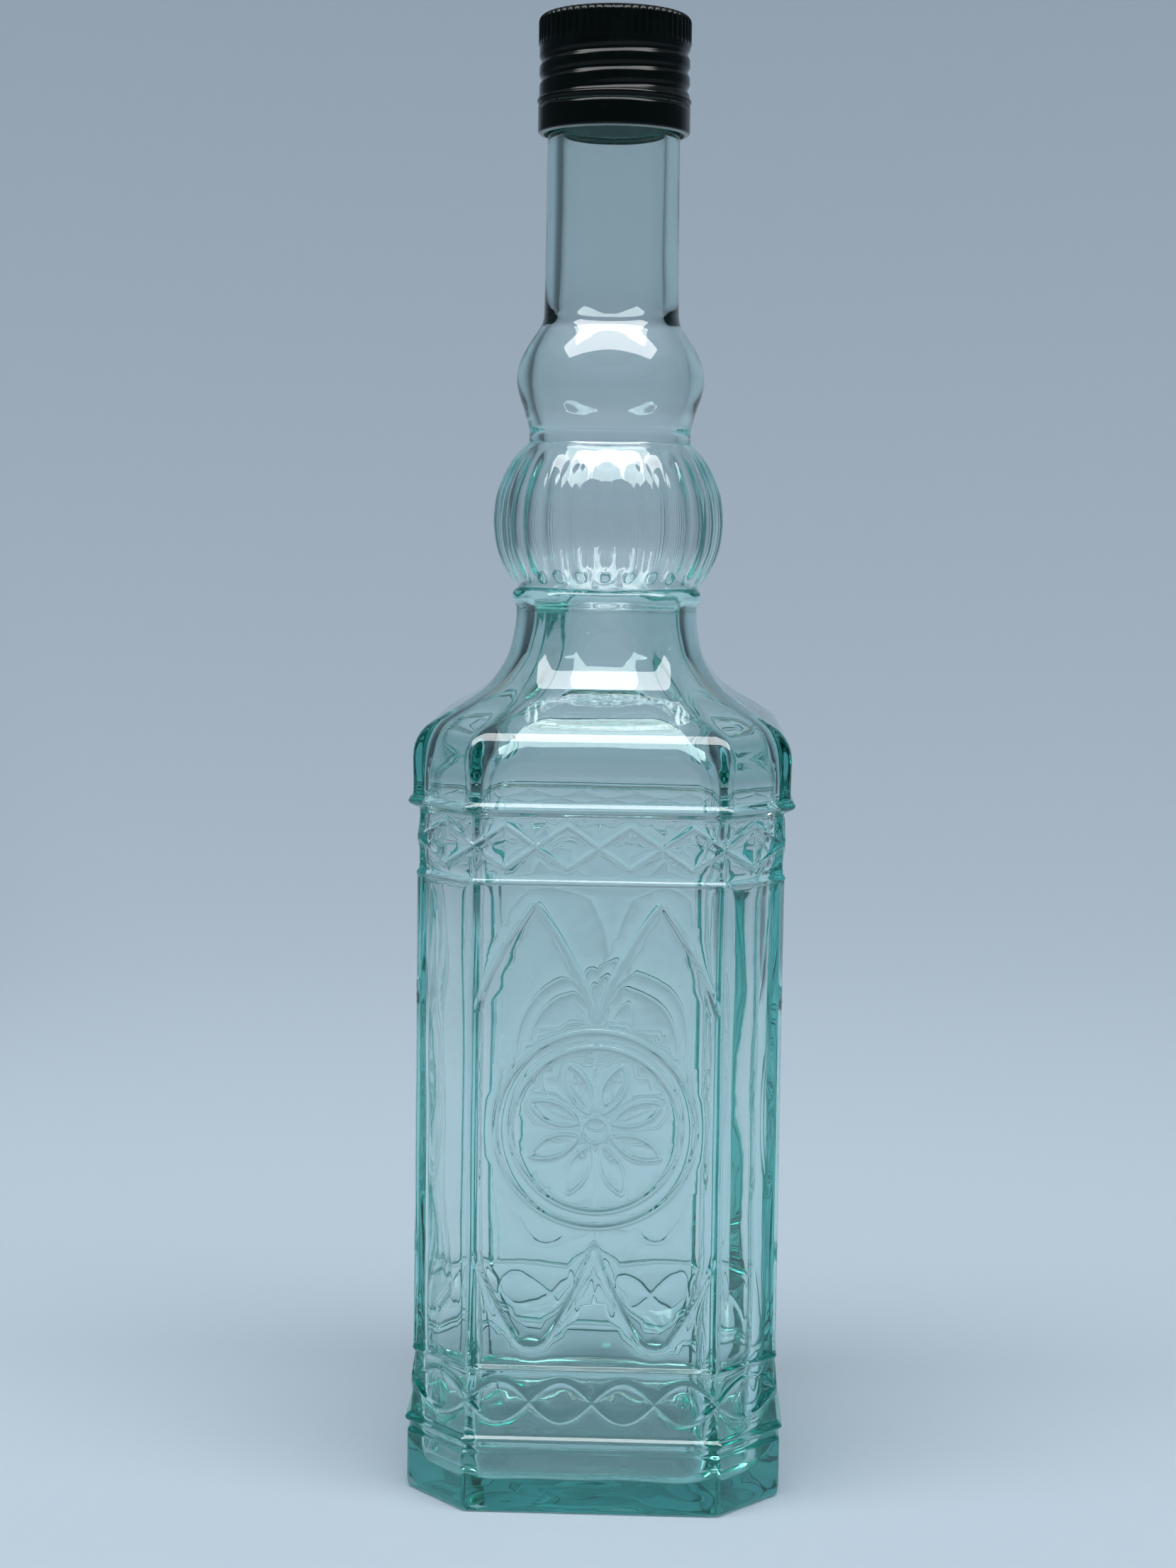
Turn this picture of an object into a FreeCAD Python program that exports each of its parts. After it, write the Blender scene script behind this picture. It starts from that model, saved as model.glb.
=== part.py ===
import FreeCAD, Part

import math
import os

import Sketcher

# A pressed-glass oil bottle with a roll-on aluminium cap.
# Millimetres, +Z up, origin at the middle of the base, the front face towards -Y.

doc = FreeCAD.newDocument("oil_bottle")
sheet = doc.addObject("Spreadsheet::Sheet", "dims")

# Driving dimensions. A name ending in _z is a height above the base, one ending in _half is half the width
# across two opposite flats of an octagon, and one ending in _r is a radius.
SIZES = {
    # octagonal sections of the bottle: share of the half width that each corner cut takes
    "corner_cut": 0.325,
    "inner_corner_cut": 0.30,
    # plinth and base bead
    "foot_half": 37.9,
    "plinth_half": 38.8,
    "plinth_low_z": 1.0,
    "plinth_top_z": 14.2,
    "base_bead_half": 39.3,
    "base_bead_z": 15.8,
    "band_foot_half": 38.7,
    "band_foot_z": 17.4,
    # straight body, with a sunk panel on each of its four faces
    "body_low_half": 37.2,
    "body_low_z": 28.6,
    "body_half": 37.0,
    "body_top_z": 142.8,
    "panel_half_width": 24.2,
    "panel_low_z": 29.8,
    "panel_top_z": 130.0,
    "panel_depth": 0.6,
    # shoulder bead, shoulder wall and ogee shoulder
    "shoulder_bead_half": 39.0,
    "shoulder_bead_z": 145.0,
    "shoulder_half": 38.5,
    "shoulder_low_z": 147.0,
    "shoulder_top_z": 155.0,
    "crease_half": 37.0,
    "crease_z": 158.6,
    "slope_half": 29.0,
    "slope_z": 164.0,
    "hollow_half": 21.7,
    "hollow_z": 171.0,
    "throat_half": 18.8,
    "throat_z": 183.6,
    # ring under the fluted bulb
    "ring_half": 19.8,
    "ring_z": 185.8,
    "ring_top_z": 188.0,
    # fluted lower bulb, waist, plain upper bulb
    "lower_bulb_foot_r": 19.2,
    "lower_bulb_foot_z": 187.2,
    "lower_bulb_r": 24.1,
    "lower_bulb_z": 201.3,
    "waist_r": 16.9,
    "waist_low_z": 217.4,
    "waist_top_z": 220.0,
    "upper_bulb_r": 19.6,
    "upper_bulb_z": 230.6,
    "upper_bulb_top_r": 14.3,
    "upper_bulb_top_z": 241.8,
    "flute_count": 24,
    "flute_r": 3.2,
    "flute_depth": 0.35,
    "flute_sweep": 76,
    # neck and its finish: the retaining collar, the thread's root and the sealing lip
    "neck_foot_r": 14.0,
    "neck_foot_z": 244.5,
    "neck_r": 13.7,
    "collar_low_z": 281.9,
    "collar_r": 15.1,
    "collar_height": 3.6,
    "collar_slope": 0.8,
    "thread_root_r": 14.0,
    "thread_root_low_z": 287.6,
    "thread_root_top_z": 299.6,
    "lip_r": 13.6,
    "lip_edge": 0.7,
    "mouth_z": 301.6,
    # right-hand thread: glass ridge, and the rolled groove of the cap between its turns
    "thread_lead": 3.6,
    "thread_crest_r": 15.05,
    "thread_low_z": 291.5,
    "thread_turns": 1.9,
    "thread_bite": 0.25,
    "ridge_foot": 2.0,
    "ridge_crest": 0.8,
    "rolled_turns": 2.1,
    "rolled_depth": 0.5,
    "rolled_foot": 2.0,
    "rolled_crest": 0.6,
    # hollow of the bottle
    "wall": 3.6,
    "floor_z": 9.0,
    "floor_half": 27.0,
    "floor_bevel_half": 31.8,
    "floor_bevel_z": 11.6,
    "hollow_low_half": 33.4,
    "hollow_low_z": 17.0,
    "inner_top_half": 34.3,
    "inner_crease_half": 33.4,
    "inner_crease_z": 155.0,
    "inner_slope_half": 27.2,
    "inner_slope_z": 160.4,
    "inner_hollow_half": 18.5,
    "inner_hollow_z": 169.2,
    "inner_throat_half": 14.9,
    "inner_neck_foot_z": 181.8,
    "inner_neck_r": 10.85,
    "bore_r": 10.6,
    "bore_foot_z": 245.0,
    "push_up_r": 30.0,
    "push_up": 3.0,
    # cap shell and tamper band: sheet thickness and outer radii
    "sheet": 0.25,
    "cap_top_z": 304.6,
    "cap_edge_r": 1.2,
    "knurl_r": 15.75,
    "knurl_low_z": 298.7,
    "knurl_count": 60,
    "knurl_groove_r": 0.5,
    "knurl_depth": 0.2,
    "cap_wall_r": 15.55,
    "cap_bead_r": 15.95,
    "cap_bead_z": 287.3,
    "score_z": 286.2,
    "score_gap": 0.3,
    "band_r": 15.73,
    "band_low_z": 280.6,
    "curl_r": 14.5,
    "curl_height": 0.5,
    "bridge_count": 8,
    "bridge_width": 1.2,
    "bridge_height": 0.2,
    "bridge_inset": 0.025,
    # liner, and the ring inside the shell that keeps it from falling out
    "liner_r": 15.0,
    "liner_thickness": 1.55,
    "liner_gap": 0.05,
    "liner_edge": 0.6,
    "keeper_r": 14.75,
    "keeper_height": 0.9,
    # pourer insert: flange on the lip, skirt in the bore, spout in a drain well
    "flange_r": 13.2,
    "flange_thickness": 1.1,
    "skirt_length": 10.0,
    "skirt_wall": 0.7,
    "skirt_rib": 0.12,
    "skirt_rib_half": 0.5,
    "low_rib": 3.5,
    "high_rib": 6.5,
    "well_web": 1.0,
    "well_depth": 8.7,
    "spout_r": 8.9,
    "spout_bore_r": 8.3,
    "spout_lip_r": 9.3,
    "spout_lip_height": 1.0,
    "drain_r": 0.4,
    "drain_ring_r": 9.4,
    "drain_count": 3,
}
for row, (name, value) in enumerate(SIZES.items(), start=1):
    sheet.set(f"A{row}", name)
    sheet.set(f"B{row}", str(value))
    sheet.setAlias(f"B{row}", name)
doc.recompute()


def size(expression):
    """The value, in millimetres, of an expression on the sheet's names."""
    return float(sheet.evalExpression(expression))


def bind(item, target, expression):
    """Tie a property of an object to an expression on the sheet's names."""
    item.setExpression(target, expression)


def new_body(name):
    body = doc.addObject("PartDesign::Body", name)
    body.Label = name
    return body


def new_sketch(body, name, role, offset="0"):
    """A sketch on one of the body's own origin planes, moved along that plane's normal."""
    sketch = body.newObject("Sketcher::SketchObject", name)
    planes = [feature for feature in body.Origin.OriginFeatures if feature.Role == role]
    sketch.AttachmentSupport = [(planes[0], "")]
    sketch.MapMode = "FlatFace"
    bind(sketch, "AttachmentOffset.Base.z", offset)
    return sketch


def constrain(sketch, expression, *terms):
    """Add a dimension to a sketch and tie it to the sheet."""
    index = sketch.addConstraint(Sketcher.Constraint(*terms, size(expression)))
    bind(sketch, f"Constraints[{index}]", expression)


def arc_between(start, end, radius, turn):
    """The arc of that radius from start to end, as a counter-clockwise piece of its circle."""
    chord = end - start
    middle = (start + end) * 0.5
    side = FreeCAD.Vector(-chord.y, chord.x, 0).normalize()
    reach = math.sqrt(max(radius**2 - (chord.Length / 2) ** 2, 0))
    centre = middle + side * (reach if turn == "left" else -reach)
    first, last = (start, end) if turn == "left" else (end, start)
    angles = [math.atan2(point.y - centre.y, point.x - centre.x) for point in (first, last)]
    if angles[1] < angles[0]:
        angles[1] += 2 * math.pi
    circle = Part.Circle(centre, FreeCAD.Vector(0, 0, 1), radius)
    return Part.ArcOfCircle(circle, angles[0], angles[1])


def draw_outline(sketch, corners):
    """Draw a closed outline through corners, each given by two expressions.

    A corner may add a radius and a turn, left or right, for an arc to the next corner.
    """
    points = [FreeCAD.Vector(size(corner[0]), size(corner[1]), 0) for corner in corners]
    edges = []
    for index, corner in enumerate(corners):
        start = points[index]
        end = points[(index + 1) % len(points)]
        if len(corner) == 2:
            edges.append((sketch.addGeometry(Part.LineSegment(start, end)), 1, 2))
            continue
        arc = arc_between(start, end, size(corner[2]), corner[3])
        order = (1, 2) if corner[3] == "left" else (2, 1)
        edges.append((sketch.addGeometry(arc), *order))
    for index, edge in enumerate(edges):
        following = edges[(index + 1) % len(edges)]
        sketch.addConstraint(Sketcher.Constraint("Coincident", edge[0], edge[2], following[0], following[1]))
    for edge, corner in zip(edges, corners):
        constrain(sketch, corner[0], "DistanceX", -1, 1, edge[0], edge[1])
        constrain(sketch, corner[1], "DistanceY", -1, 1, edge[0], edge[1])
        if len(corner) > 2:
            constrain(sketch, corner[2], "Radius", edge[0])


def draw_circle(sketch, across, up, radius):
    """Draw one circle, its centre and radius given by expressions."""
    centre = FreeCAD.Vector(size(across), size(up), 0)
    circle = sketch.addGeometry(Part.Circle(centre, FreeCAD.Vector(0, 0, 1), size(radius)))
    constrain(sketch, across, "DistanceX", -1, 1, circle, 3)
    constrain(sketch, up, "DistanceY", -1, 1, circle, 3)
    constrain(sketch, radius, "Radius", circle)


def octagon(body, name, height, half, cut="dims.corner_cut"):
    """A square section with cut corners, lying at a height."""
    sketch = new_sketch(body, name, "XY_Plane", height)
    short = f"({half}) * (1 - {cut})"
    draw_outline(sketch, [
        (half, f"-{short}"),
        (half, short),
        (short, half),
        (f"-{short}", half),
        (f"-({half})", short),
        (f"-({half})", f"-{short}"),
        (f"-{short}", f"-({half})"),
        (short, f"-({half})"),
    ])
    return sketch


def loft(body, name, sections, kind="Additive", ruled=True):
    feature = body.newObject(f"PartDesign::{kind}Loft", name)
    feature.Profile = sections[0]
    feature.Sections = sections[1:]
    feature.Ruled = ruled
    doc.recompute()
    return feature


def turned(body, name, corners, kind="Revolution"):
    """Turn an outline, drawn as radius and height, about the bottle's axis."""
    sketch = new_sketch(body, f"{name}_outline", "XZ_Plane")
    draw_outline(sketch, corners)
    feature = body.newObject(f"PartDesign::{kind}", name)
    feature.Profile = sketch
    feature.ReferenceAxis = (sketch, ["V_Axis"])
    feature.Angle = 360
    doc.recompute()
    return feature


def ring_of(body, name, feature, count):
    """Repeat a feature evenly about the bottle's axis."""
    axes = [item for item in body.Origin.OriginFeatures if item.Role == "Z_Axis"]
    pattern = body.newObject("PartDesign::PolarPattern", name)
    pattern.Originals = [feature]
    pattern.Axis = (axes[0], [""])
    pattern.Angle = 360
    pattern.Refine = False
    bind(pattern, "Occurrences", count)
    body.Tip = pattern
    doc.recompute()
    return pattern


def helix(body, name, corners, kind, turns):
    """Wind an outline, drawn as radius and height, up the thread's right-hand helix."""
    sketch = new_sketch(body, f"{name}_outline", "XZ_Plane")
    draw_outline(sketch, corners)
    feature = body.newObject(f"PartDesign::{kind}Helix", name)
    feature.Profile = sketch
    feature.ReferenceAxis = (sketch, ["V_Axis"])
    feature.Mode = "pitch-turns-angle"
    feature.Refine = False
    bind(feature, "Pitch", "dims.thread_lead")
    bind(feature, "Turns", turns)
    doc.recompute()
    return feature


def belly_radius(belly_r, belly_z, end_r, end_z):
    """Radius of the arc that is upright at a bulb's widest point and passes through the bulb's end."""
    depth = f"(({belly_r}) - ({end_r}))"
    rise = f"(({belly_z}) - ({end_z}))"
    return f"({depth} ^ 2 + {rise} ^ 2) / (2 * {depth})"


def bulb(belly_r, belly_z, low_r, low_z, top_r, top_z):
    """The corners of a bulb's outline, from its foot to its widest point, each with the arc that follows."""
    return [
        (low_r, low_z, belly_radius(belly_r, belly_z, low_r, low_z), "left"),
        (belly_r, belly_z, belly_radius(belly_r, belly_z, top_r, top_z), "left"),
    ]


def build_glass_bottle():
    body = new_body("glass_bottle")

    # foot, plinth, base bead, sloping band, straight body, shoulder bead and shoulder wall
    straight = [
        ("foot", "0", "dims.foot_half"),
        ("plinth_low", "dims.plinth_low_z", "dims.plinth_half"),
        ("plinth_top", "dims.plinth_top_z", "dims.plinth_half"),
        ("base_bead", "dims.base_bead_z", "dims.base_bead_half"),
        ("band_foot", "dims.band_foot_z", "dims.band_foot_half"),
        ("body_low", "dims.body_low_z", "dims.body_low_half"),
        ("body_top", "dims.body_top_z", "dims.body_half"),
        ("shoulder_bead", "dims.shoulder_bead_z", "dims.shoulder_bead_half"),
        ("shoulder_low", "dims.shoulder_low_z", "dims.shoulder_half"),
        ("shoulder_top", "dims.shoulder_top_z", "dims.shoulder_half"),
    ]
    loft(body, "straight_walls", [octagon(body, *section) for section in straight])

    # ogee shoulder: convex at the crease, hollow towards the throat
    ogee = [
        ("ogee_foot", "dims.shoulder_top_z", "dims.shoulder_half"),
        ("ogee_crease", "dims.crease_z", "dims.crease_half"),
        ("ogee_slope", "dims.slope_z", "dims.slope_half"),
        ("ogee_hollow", "dims.hollow_z", "dims.hollow_half"),
        ("ogee_throat", "dims.throat_z", "dims.throat_half"),
    ]
    loft(body, "shoulder", [octagon(body, *section) for section in ogee], ruled=False)

    # both bulbs, the neck and the finish under the cap
    turned(body, "bulbs_and_neck", [
        ("0", "dims.throat_z - dims.wall"),
        ("dims.neck_r", "dims.throat_z - dims.wall"),
        *bulb("dims.lower_bulb_r", "dims.lower_bulb_z", "dims.lower_bulb_foot_r", "dims.lower_bulb_foot_z",
              "dims.waist_r", "dims.waist_low_z"),
        ("dims.waist_r", "dims.waist_low_z"),
        *bulb("dims.upper_bulb_r", "dims.upper_bulb_z", "dims.waist_r", "dims.waist_top_z",
              "dims.upper_bulb_top_r", "dims.upper_bulb_top_z"),
        ("dims.upper_bulb_top_r", "dims.upper_bulb_top_z"),
        ("dims.neck_foot_r", "dims.neck_foot_z"),
        ("dims.neck_r", "dims.band_low_z"),
        ("dims.neck_r", "dims.collar_low_z"),
        ("dims.collar_r", "dims.collar_low_z + dims.collar_slope"),
        ("dims.collar_r", "dims.collar_low_z + dims.collar_height - dims.collar_slope"),
        ("dims.neck_r", "dims.collar_low_z + dims.collar_height"),
        ("dims.neck_r", "dims.thread_root_low_z"),
        ("dims.thread_root_r", "dims.thread_root_low_z + dims.thread_root_r - dims.neck_r"),
        ("dims.thread_root_r", "dims.thread_root_top_z"),
        ("dims.lip_r", "dims.thread_root_top_z + dims.thread_root_r - dims.lip_r"),
        ("dims.lip_r", "dims.mouth_z - dims.lip_edge", "dims.lip_edge", "left"),
        ("dims.lip_r - dims.lip_edge", "dims.mouth_z"),
        ("0", "dims.mouth_z"),
    ])

    # flutes follow the lower bulb's curve from near the ring to near the waist
    flute = new_sketch(body, "flute_outline", "XY_Plane", "dims.lower_bulb_z")
    upper_arc = belly_radius("dims.lower_bulb_r", "dims.lower_bulb_z", "dims.waist_r", "dims.waist_low_z")
    draw_circle(flute, "dims.lower_bulb_r + dims.flute_r - dims.flute_depth", "0", "dims.flute_r")
    turning_line = Part.LineSegment(FreeCAD.Vector(0, 0, 0), FreeCAD.Vector(0, 1, 0))
    line = flute.addGeometry(turning_line, True)
    for point in (1, 2):
        constrain(flute, f"dims.lower_bulb_r - {upper_arc}", "DistanceX", -1, 1, line, point)
    groove = body.newObject("PartDesign::Groove", "flute")
    groove.Profile = flute
    groove.ReferenceAxis = (flute, ["Axis0"])
    groove.Midplane = True
    groove.Refine = False
    bind(groove, "Angle", "dims.flute_sweep")
    doc.recompute()
    ring_of(body, "flutes", groove, "dims.flute_count")

    # octagonal ring that the fluted bulb sits on
    ring = [
        ("ring_foot", "dims.throat_z", "dims.throat_half"),
        ("ring_crest", "dims.ring_z", "dims.ring_half"),
        ("ring_head", "dims.ring_top_z", "dims.throat_half"),
    ]
    loft(body, "throat_ring", [octagon(body, *section) for section in ring])

    # a sunk panel on each broad face
    panel = new_sketch(body, "panel_outline", "XZ_Plane", "dims.body_half - dims.panel_depth")
    draw_outline(panel, [
        ("-dims.panel_half_width", "dims.panel_low_z"),
        ("dims.panel_half_width", "dims.panel_low_z"),
        ("dims.panel_half_width", "dims.panel_top_z"),
        ("-dims.panel_half_width", "dims.panel_top_z"),
    ])
    pocket = body.newObject("PartDesign::Pocket", "panel")
    pocket.Profile = panel
    pocket.Reversed = True
    bind(pocket, "Length", "dims.wall")
    doc.recompute()
    ring_of(body, "panels", pocket, "4")

    # glass thread
    helix(body, "thread", [
        ("dims.thread_root_r - dims.thread_bite", "dims.thread_low_z - dims.ridge_foot / 2"),
        ("dims.thread_crest_r", "dims.thread_low_z - dims.ridge_crest / 2"),
        ("dims.thread_crest_r", "dims.thread_low_z + dims.ridge_crest / 2"),
        ("dims.thread_root_r - dims.thread_bite", "dims.thread_low_z + dims.ridge_foot / 2"),
    ], "Additive", "dims.thread_turns")

    # hollow of the body and shoulder, one wall thickness inside
    hollow = [
        ("hollow_floor", "dims.floor_z", "dims.floor_half"),
        ("hollow_bevel", "dims.floor_bevel_z", "dims.floor_bevel_half"),
        ("hollow_low", "dims.hollow_low_z", "dims.hollow_low_half"),
        ("hollow_top", "dims.shoulder_low_z", "dims.inner_top_half"),
    ]
    inside = [octagon(body, *section, "dims.inner_corner_cut") for section in hollow]
    loft(body, "body_hollow", inside, "Subtractive")
    inner_ogee = [
        ("inner_foot", "dims.shoulder_low_z", "dims.inner_top_half"),
        ("inner_crease", "dims.inner_crease_z", "dims.inner_crease_half"),
        ("inner_slope", "dims.inner_slope_z", "dims.inner_slope_half"),
        ("inner_hollow", "dims.inner_hollow_z", "dims.inner_hollow_half"),
        ("inner_throat", "dims.throat_z", "dims.inner_throat_half"),
    ]
    inside = [octagon(body, *section, "dims.inner_corner_cut") for section in inner_ogee]
    loft(body, "shoulder_hollow", inside, "Subtractive", ruled=False)

    # hollow of the bulbs and the neck
    turned(body, "neck_hollow", [
        ("0", "dims.inner_neck_foot_z"),
        ("dims.inner_throat_half", "dims.inner_neck_foot_z"),
        *bulb("dims.lower_bulb_r - dims.wall", "dims.lower_bulb_z", "dims.inner_throat_half",
              "dims.lower_bulb_foot_z", "dims.waist_r - dims.wall", "dims.waist_low_z"),
        ("dims.waist_r - dims.wall", "dims.waist_low_z"),
        *bulb("dims.upper_bulb_r - dims.wall", "dims.upper_bulb_z", "dims.waist_r - dims.wall",
              "dims.waist_top_z", "dims.inner_neck_r", "dims.upper_bulb_top_z"),
        ("dims.inner_neck_r", "dims.upper_bulb_top_z"),
        ("dims.bore_r", "dims.bore_foot_z"),
        ("dims.bore_r", "dims.cap_top_z"),
        ("0", "dims.cap_top_z"),
    ], "Groove")

    # shallow push-up under the base, so that the bottle stands on its rim
    turned(body, "push_up", [
        ("0", "-dims.push_up"),
        ("dims.push_up_r", "-dims.push_up"),
        ("dims.push_up_r", "0", "(dims.push_up_r ^ 2 + dims.push_up ^ 2) / (2 * dims.push_up)", "left"),
        ("0", "dims.push_up"),
    ], "Groove")
    return body


def build_cap_shell():
    body = new_body("cap_shell")
    inside = "dims.cap_wall_r - dims.sheet"
    roof = "dims.cap_top_z - dims.sheet"
    corner = "(dims.cap_edge_r - dims.sheet)"
    keeper_top = f"{roof} - dims.liner_thickness - 2 * dims.liner_gap"
    skirt = "dims.score_z + dims.score_gap / 2"
    turned(body, "shell", [
        ("0", roof),
        (f"{inside} - {corner}", roof, corner, "right"),
        (inside, f"{roof} - {corner}"),
        (inside, keeper_top),
        ("dims.keeper_r", f"{keeper_top} - dims.keeper_height / 3"),
        ("dims.keeper_r", f"{keeper_top} - dims.keeper_height * 2 / 3"),
        (inside, f"{keeper_top} - dims.keeper_height"),
        (inside, skirt),
        ("dims.band_r", skirt),
        ("dims.cap_bead_r", "dims.cap_bead_z - dims.sheet"),
        ("dims.cap_bead_r", "dims.cap_bead_z + dims.sheet"),
        ("dims.cap_wall_r", "dims.cap_bead_z + 2 * dims.sheet + dims.cap_bead_r - dims.cap_wall_r"),
        ("dims.cap_wall_r", "dims.knurl_low_z - (dims.knurl_r - dims.cap_wall_r)"),
        ("dims.knurl_r", "dims.knurl_low_z"),
        ("dims.knurl_r", "dims.cap_top_z - dims.cap_edge_r", "dims.cap_edge_r", "left"),
        ("dims.knurl_r - dims.cap_edge_r", "dims.cap_top_z"),
        ("0", "dims.cap_top_z"),
    ])

    # fine knurl around the top
    knurl = new_sketch(body, "knurl_outline", "XY_Plane", "dims.cap_top_z")
    draw_circle(knurl, "dims.knurl_r + dims.knurl_groove_r - dims.knurl_depth", "0", "dims.knurl_groove_r")
    pocket = body.newObject("PartDesign::Pocket", "knurl_groove")
    pocket.Profile = knurl
    pocket.Refine = False
    bind(pocket, "Length", "dims.cap_top_z - dims.knurl_low_z")
    doc.recompute()
    ring_of(body, "knurl", pocket, "dims.knurl_count")

    # rolled thread, half a lead away from the glass ridge: a ridge inside and the groove that pressed it
    middle = "dims.thread_low_z - dims.thread_lead / 2"
    overlap = "dims.sheet / 2"
    helix(body, "rolled_ridge", [
        (f"{inside} - dims.rolled_depth", f"{middle} - dims.rolled_crest / 2"),
        (f"{inside} + {overlap}", f"{middle} - dims.rolled_foot / 2"),
        (f"{inside} + {overlap}", f"{middle} + dims.rolled_foot / 2"),
        (f"{inside} - dims.rolled_depth", f"{middle} + dims.rolled_crest / 2"),
    ], "Additive", "dims.rolled_turns")
    helix(body, "rolled_groove", [
        ("dims.cap_wall_r - dims.rolled_depth", f"{middle} - dims.rolled_crest / 2"),
        (f"dims.cap_wall_r + {overlap}", f"{middle} - dims.rolled_foot / 2"),
        (f"dims.cap_wall_r + {overlap}", f"{middle} + dims.rolled_foot / 2"),
        ("dims.cap_wall_r - dims.rolled_depth", f"{middle} + dims.rolled_crest / 2"),
    ], "Subtractive", "dims.rolled_turns")
    return body


def build_tamper_band():
    body = new_body("tamper_band")
    inside = "dims.band_r - dims.sheet"
    top = "dims.score_z - dims.score_gap / 2"
    turned(body, "band", [
        (inside, top),
        (inside, "dims.band_low_z + 2 * dims.curl_height"),
        (f"{inside} - dims.curl_height", "dims.band_low_z + dims.curl_height"),
        ("dims.curl_r", "dims.band_low_z + dims.curl_height"),
        ("dims.curl_r", "dims.band_low_z"),
        ("dims.band_r - dims.curl_height", "dims.band_low_z", "dims.curl_height", "left"),
        ("dims.band_r", "dims.band_low_z + dims.curl_height"),
        ("dims.band_r", top),
    ])

    # bridges that crossed the score line, now snapped
    bridge = new_sketch(body, "bridge_outline", "XY_Plane", f"{top} - dims.sheet")
    draw_outline(bridge, [
        (f"{inside} + dims.bridge_inset", "-dims.bridge_width / 2"),
        ("dims.band_r - dims.bridge_inset", "-dims.bridge_width / 2"),
        ("dims.band_r - dims.bridge_inset", "dims.bridge_width / 2"),
        (f"{inside} + dims.bridge_inset", "dims.bridge_width / 2"),
    ])
    pad = body.newObject("PartDesign::Pad", "bridge")
    pad.Profile = bridge
    pad.Refine = False
    bind(pad, "Length", "dims.bridge_height + dims.sheet")
    doc.recompute()
    ring_of(body, "bridges", pad, "dims.bridge_count")
    return body


def build_cap_liner():
    body = new_body("cap_liner")
    top = "dims.cap_top_z - dims.sheet - dims.liner_gap"
    edge = "dims.liner_edge"
    turned(body, "liner", [
        ("0", f"{top} - dims.liner_thickness"),
        (f"dims.liner_r - {edge}", f"{top} - dims.liner_thickness"),
        ("dims.liner_r", f"{top} - dims.liner_thickness + {edge}"),
        ("dims.liner_r", f"{top} - {edge}"),
        (f"dims.liner_r - {edge}", top),
        ("0", top),
    ])
    return body


def build_pourer_insert():
    body = new_body("pourer_insert")
    lip = "dims.mouth_z"
    top = "dims.mouth_z + dims.flange_thickness"
    foot = "dims.mouth_z - dims.skirt_length"
    well_r = "dims.bore_r - dims.skirt_wall"
    web_top = f"{top} - dims.well_depth"
    web_foot = f"{web_top} - dims.well_web"
    edge = "dims.flange_thickness / 4"
    outline = [
        (well_r, foot),
        ("dims.bore_r - dims.skirt_wall / 3", foot),
        ("dims.bore_r", f"{foot} + dims.skirt_wall"),
    ]
    # two sealing ribs on the skirt bite into the bore
    for rib in ("dims.low_rib", "dims.high_rib"):
        middle = f"{foot} + {rib}"
        outline += [
            ("dims.bore_r", f"{middle} - dims.skirt_rib_half"),
            ("dims.bore_r + dims.skirt_rib", middle),
            ("dims.bore_r", f"{middle} + dims.skirt_rib_half"),
        ]
    outline += [
        ("dims.bore_r", lip),
        ("dims.flange_r", lip),
        ("dims.flange_r", f"{top} - {edge}"),
        (f"dims.flange_r - {edge}", top),
        (f"{well_r} + dims.skirt_wall", top),
        (well_r, lip),
        (well_r, web_top),
        ("dims.spout_r", web_top),
        ("dims.spout_r", f"{top} - 2 * dims.spout_lip_height"),
        ("dims.spout_lip_r", f"{top} - {edge}"),
        (f"dims.spout_lip_r - {edge}", f"{top} - {edge} / 2"),
        ("dims.spout_bore_r", f"{top} - 2 * dims.spout_lip_height"),
        ("dims.spout_bore_r", f"{web_foot} - dims.well_web"),
        ("dims.spout_r", f"{web_foot} - dims.well_web"),
        ("dims.spout_r", web_foot),
        (well_r, web_foot),
    ]
    turned(body, "pourer", outline)

    # drain holes let drips run back from the well
    drain = new_sketch(body, "drain_outline", "XY_Plane", web_top)
    draw_circle(drain, "0", "dims.drain_ring_r", "dims.drain_r")
    pocket = body.newObject("PartDesign::Pocket", "drain")
    pocket.Profile = drain
    bind(pocket, "Length", "dims.well_web")
    doc.recompute()
    ring_of(body, "drains", pocket, "dims.drain_count")
    return body


bodies = [
    build_glass_bottle(),
    build_pourer_insert(),
    build_cap_liner(),
    build_cap_shell(),
    build_tamper_band(),
]
doc.recompute()

for item in doc.Objects:
    if "Invalid" in item.State or "Error" in item.State:
        raise RuntimeError(f"{item.Label} did not build: {item.State}")
for body in bodies:
    if body.Shape.isNull() or not body.Shape.isValid() or len(body.Shape.Solids) != 1:
        raise RuntimeError(f"{body.Label} is not one valid solid")

os.makedirs("parts", exist_ok=True)
for body in bodies:
    body.Shape.exportStep(f"parts/{body.Label}.step")
    box = body.Shape.BoundBox
    print(f"{body.Label}: {body.Shape.Volume / 1000:.2f} cm3, z {box.ZMin:.2f} to {box.ZMax:.2f}")
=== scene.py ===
# %% [markdown]
# # A pressed-glass oil bottle
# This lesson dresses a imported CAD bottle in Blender. The real one is an eight-sided kitchen bottle
# of pale aqua glass with a fluted bulb, a long neck and a black roll-on aluminium cap. The CAD
# model fixes where every part is and how it moves. Here the glass and the sheet metal get their
# relief, their wall thickness and their finish.

# %% Load the frame
import math

import bmesh
import bpy
import numpy as np
from mathutils import Matrix, Vector
from mathutils.geometry import delaunay_2d_cdt


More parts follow.
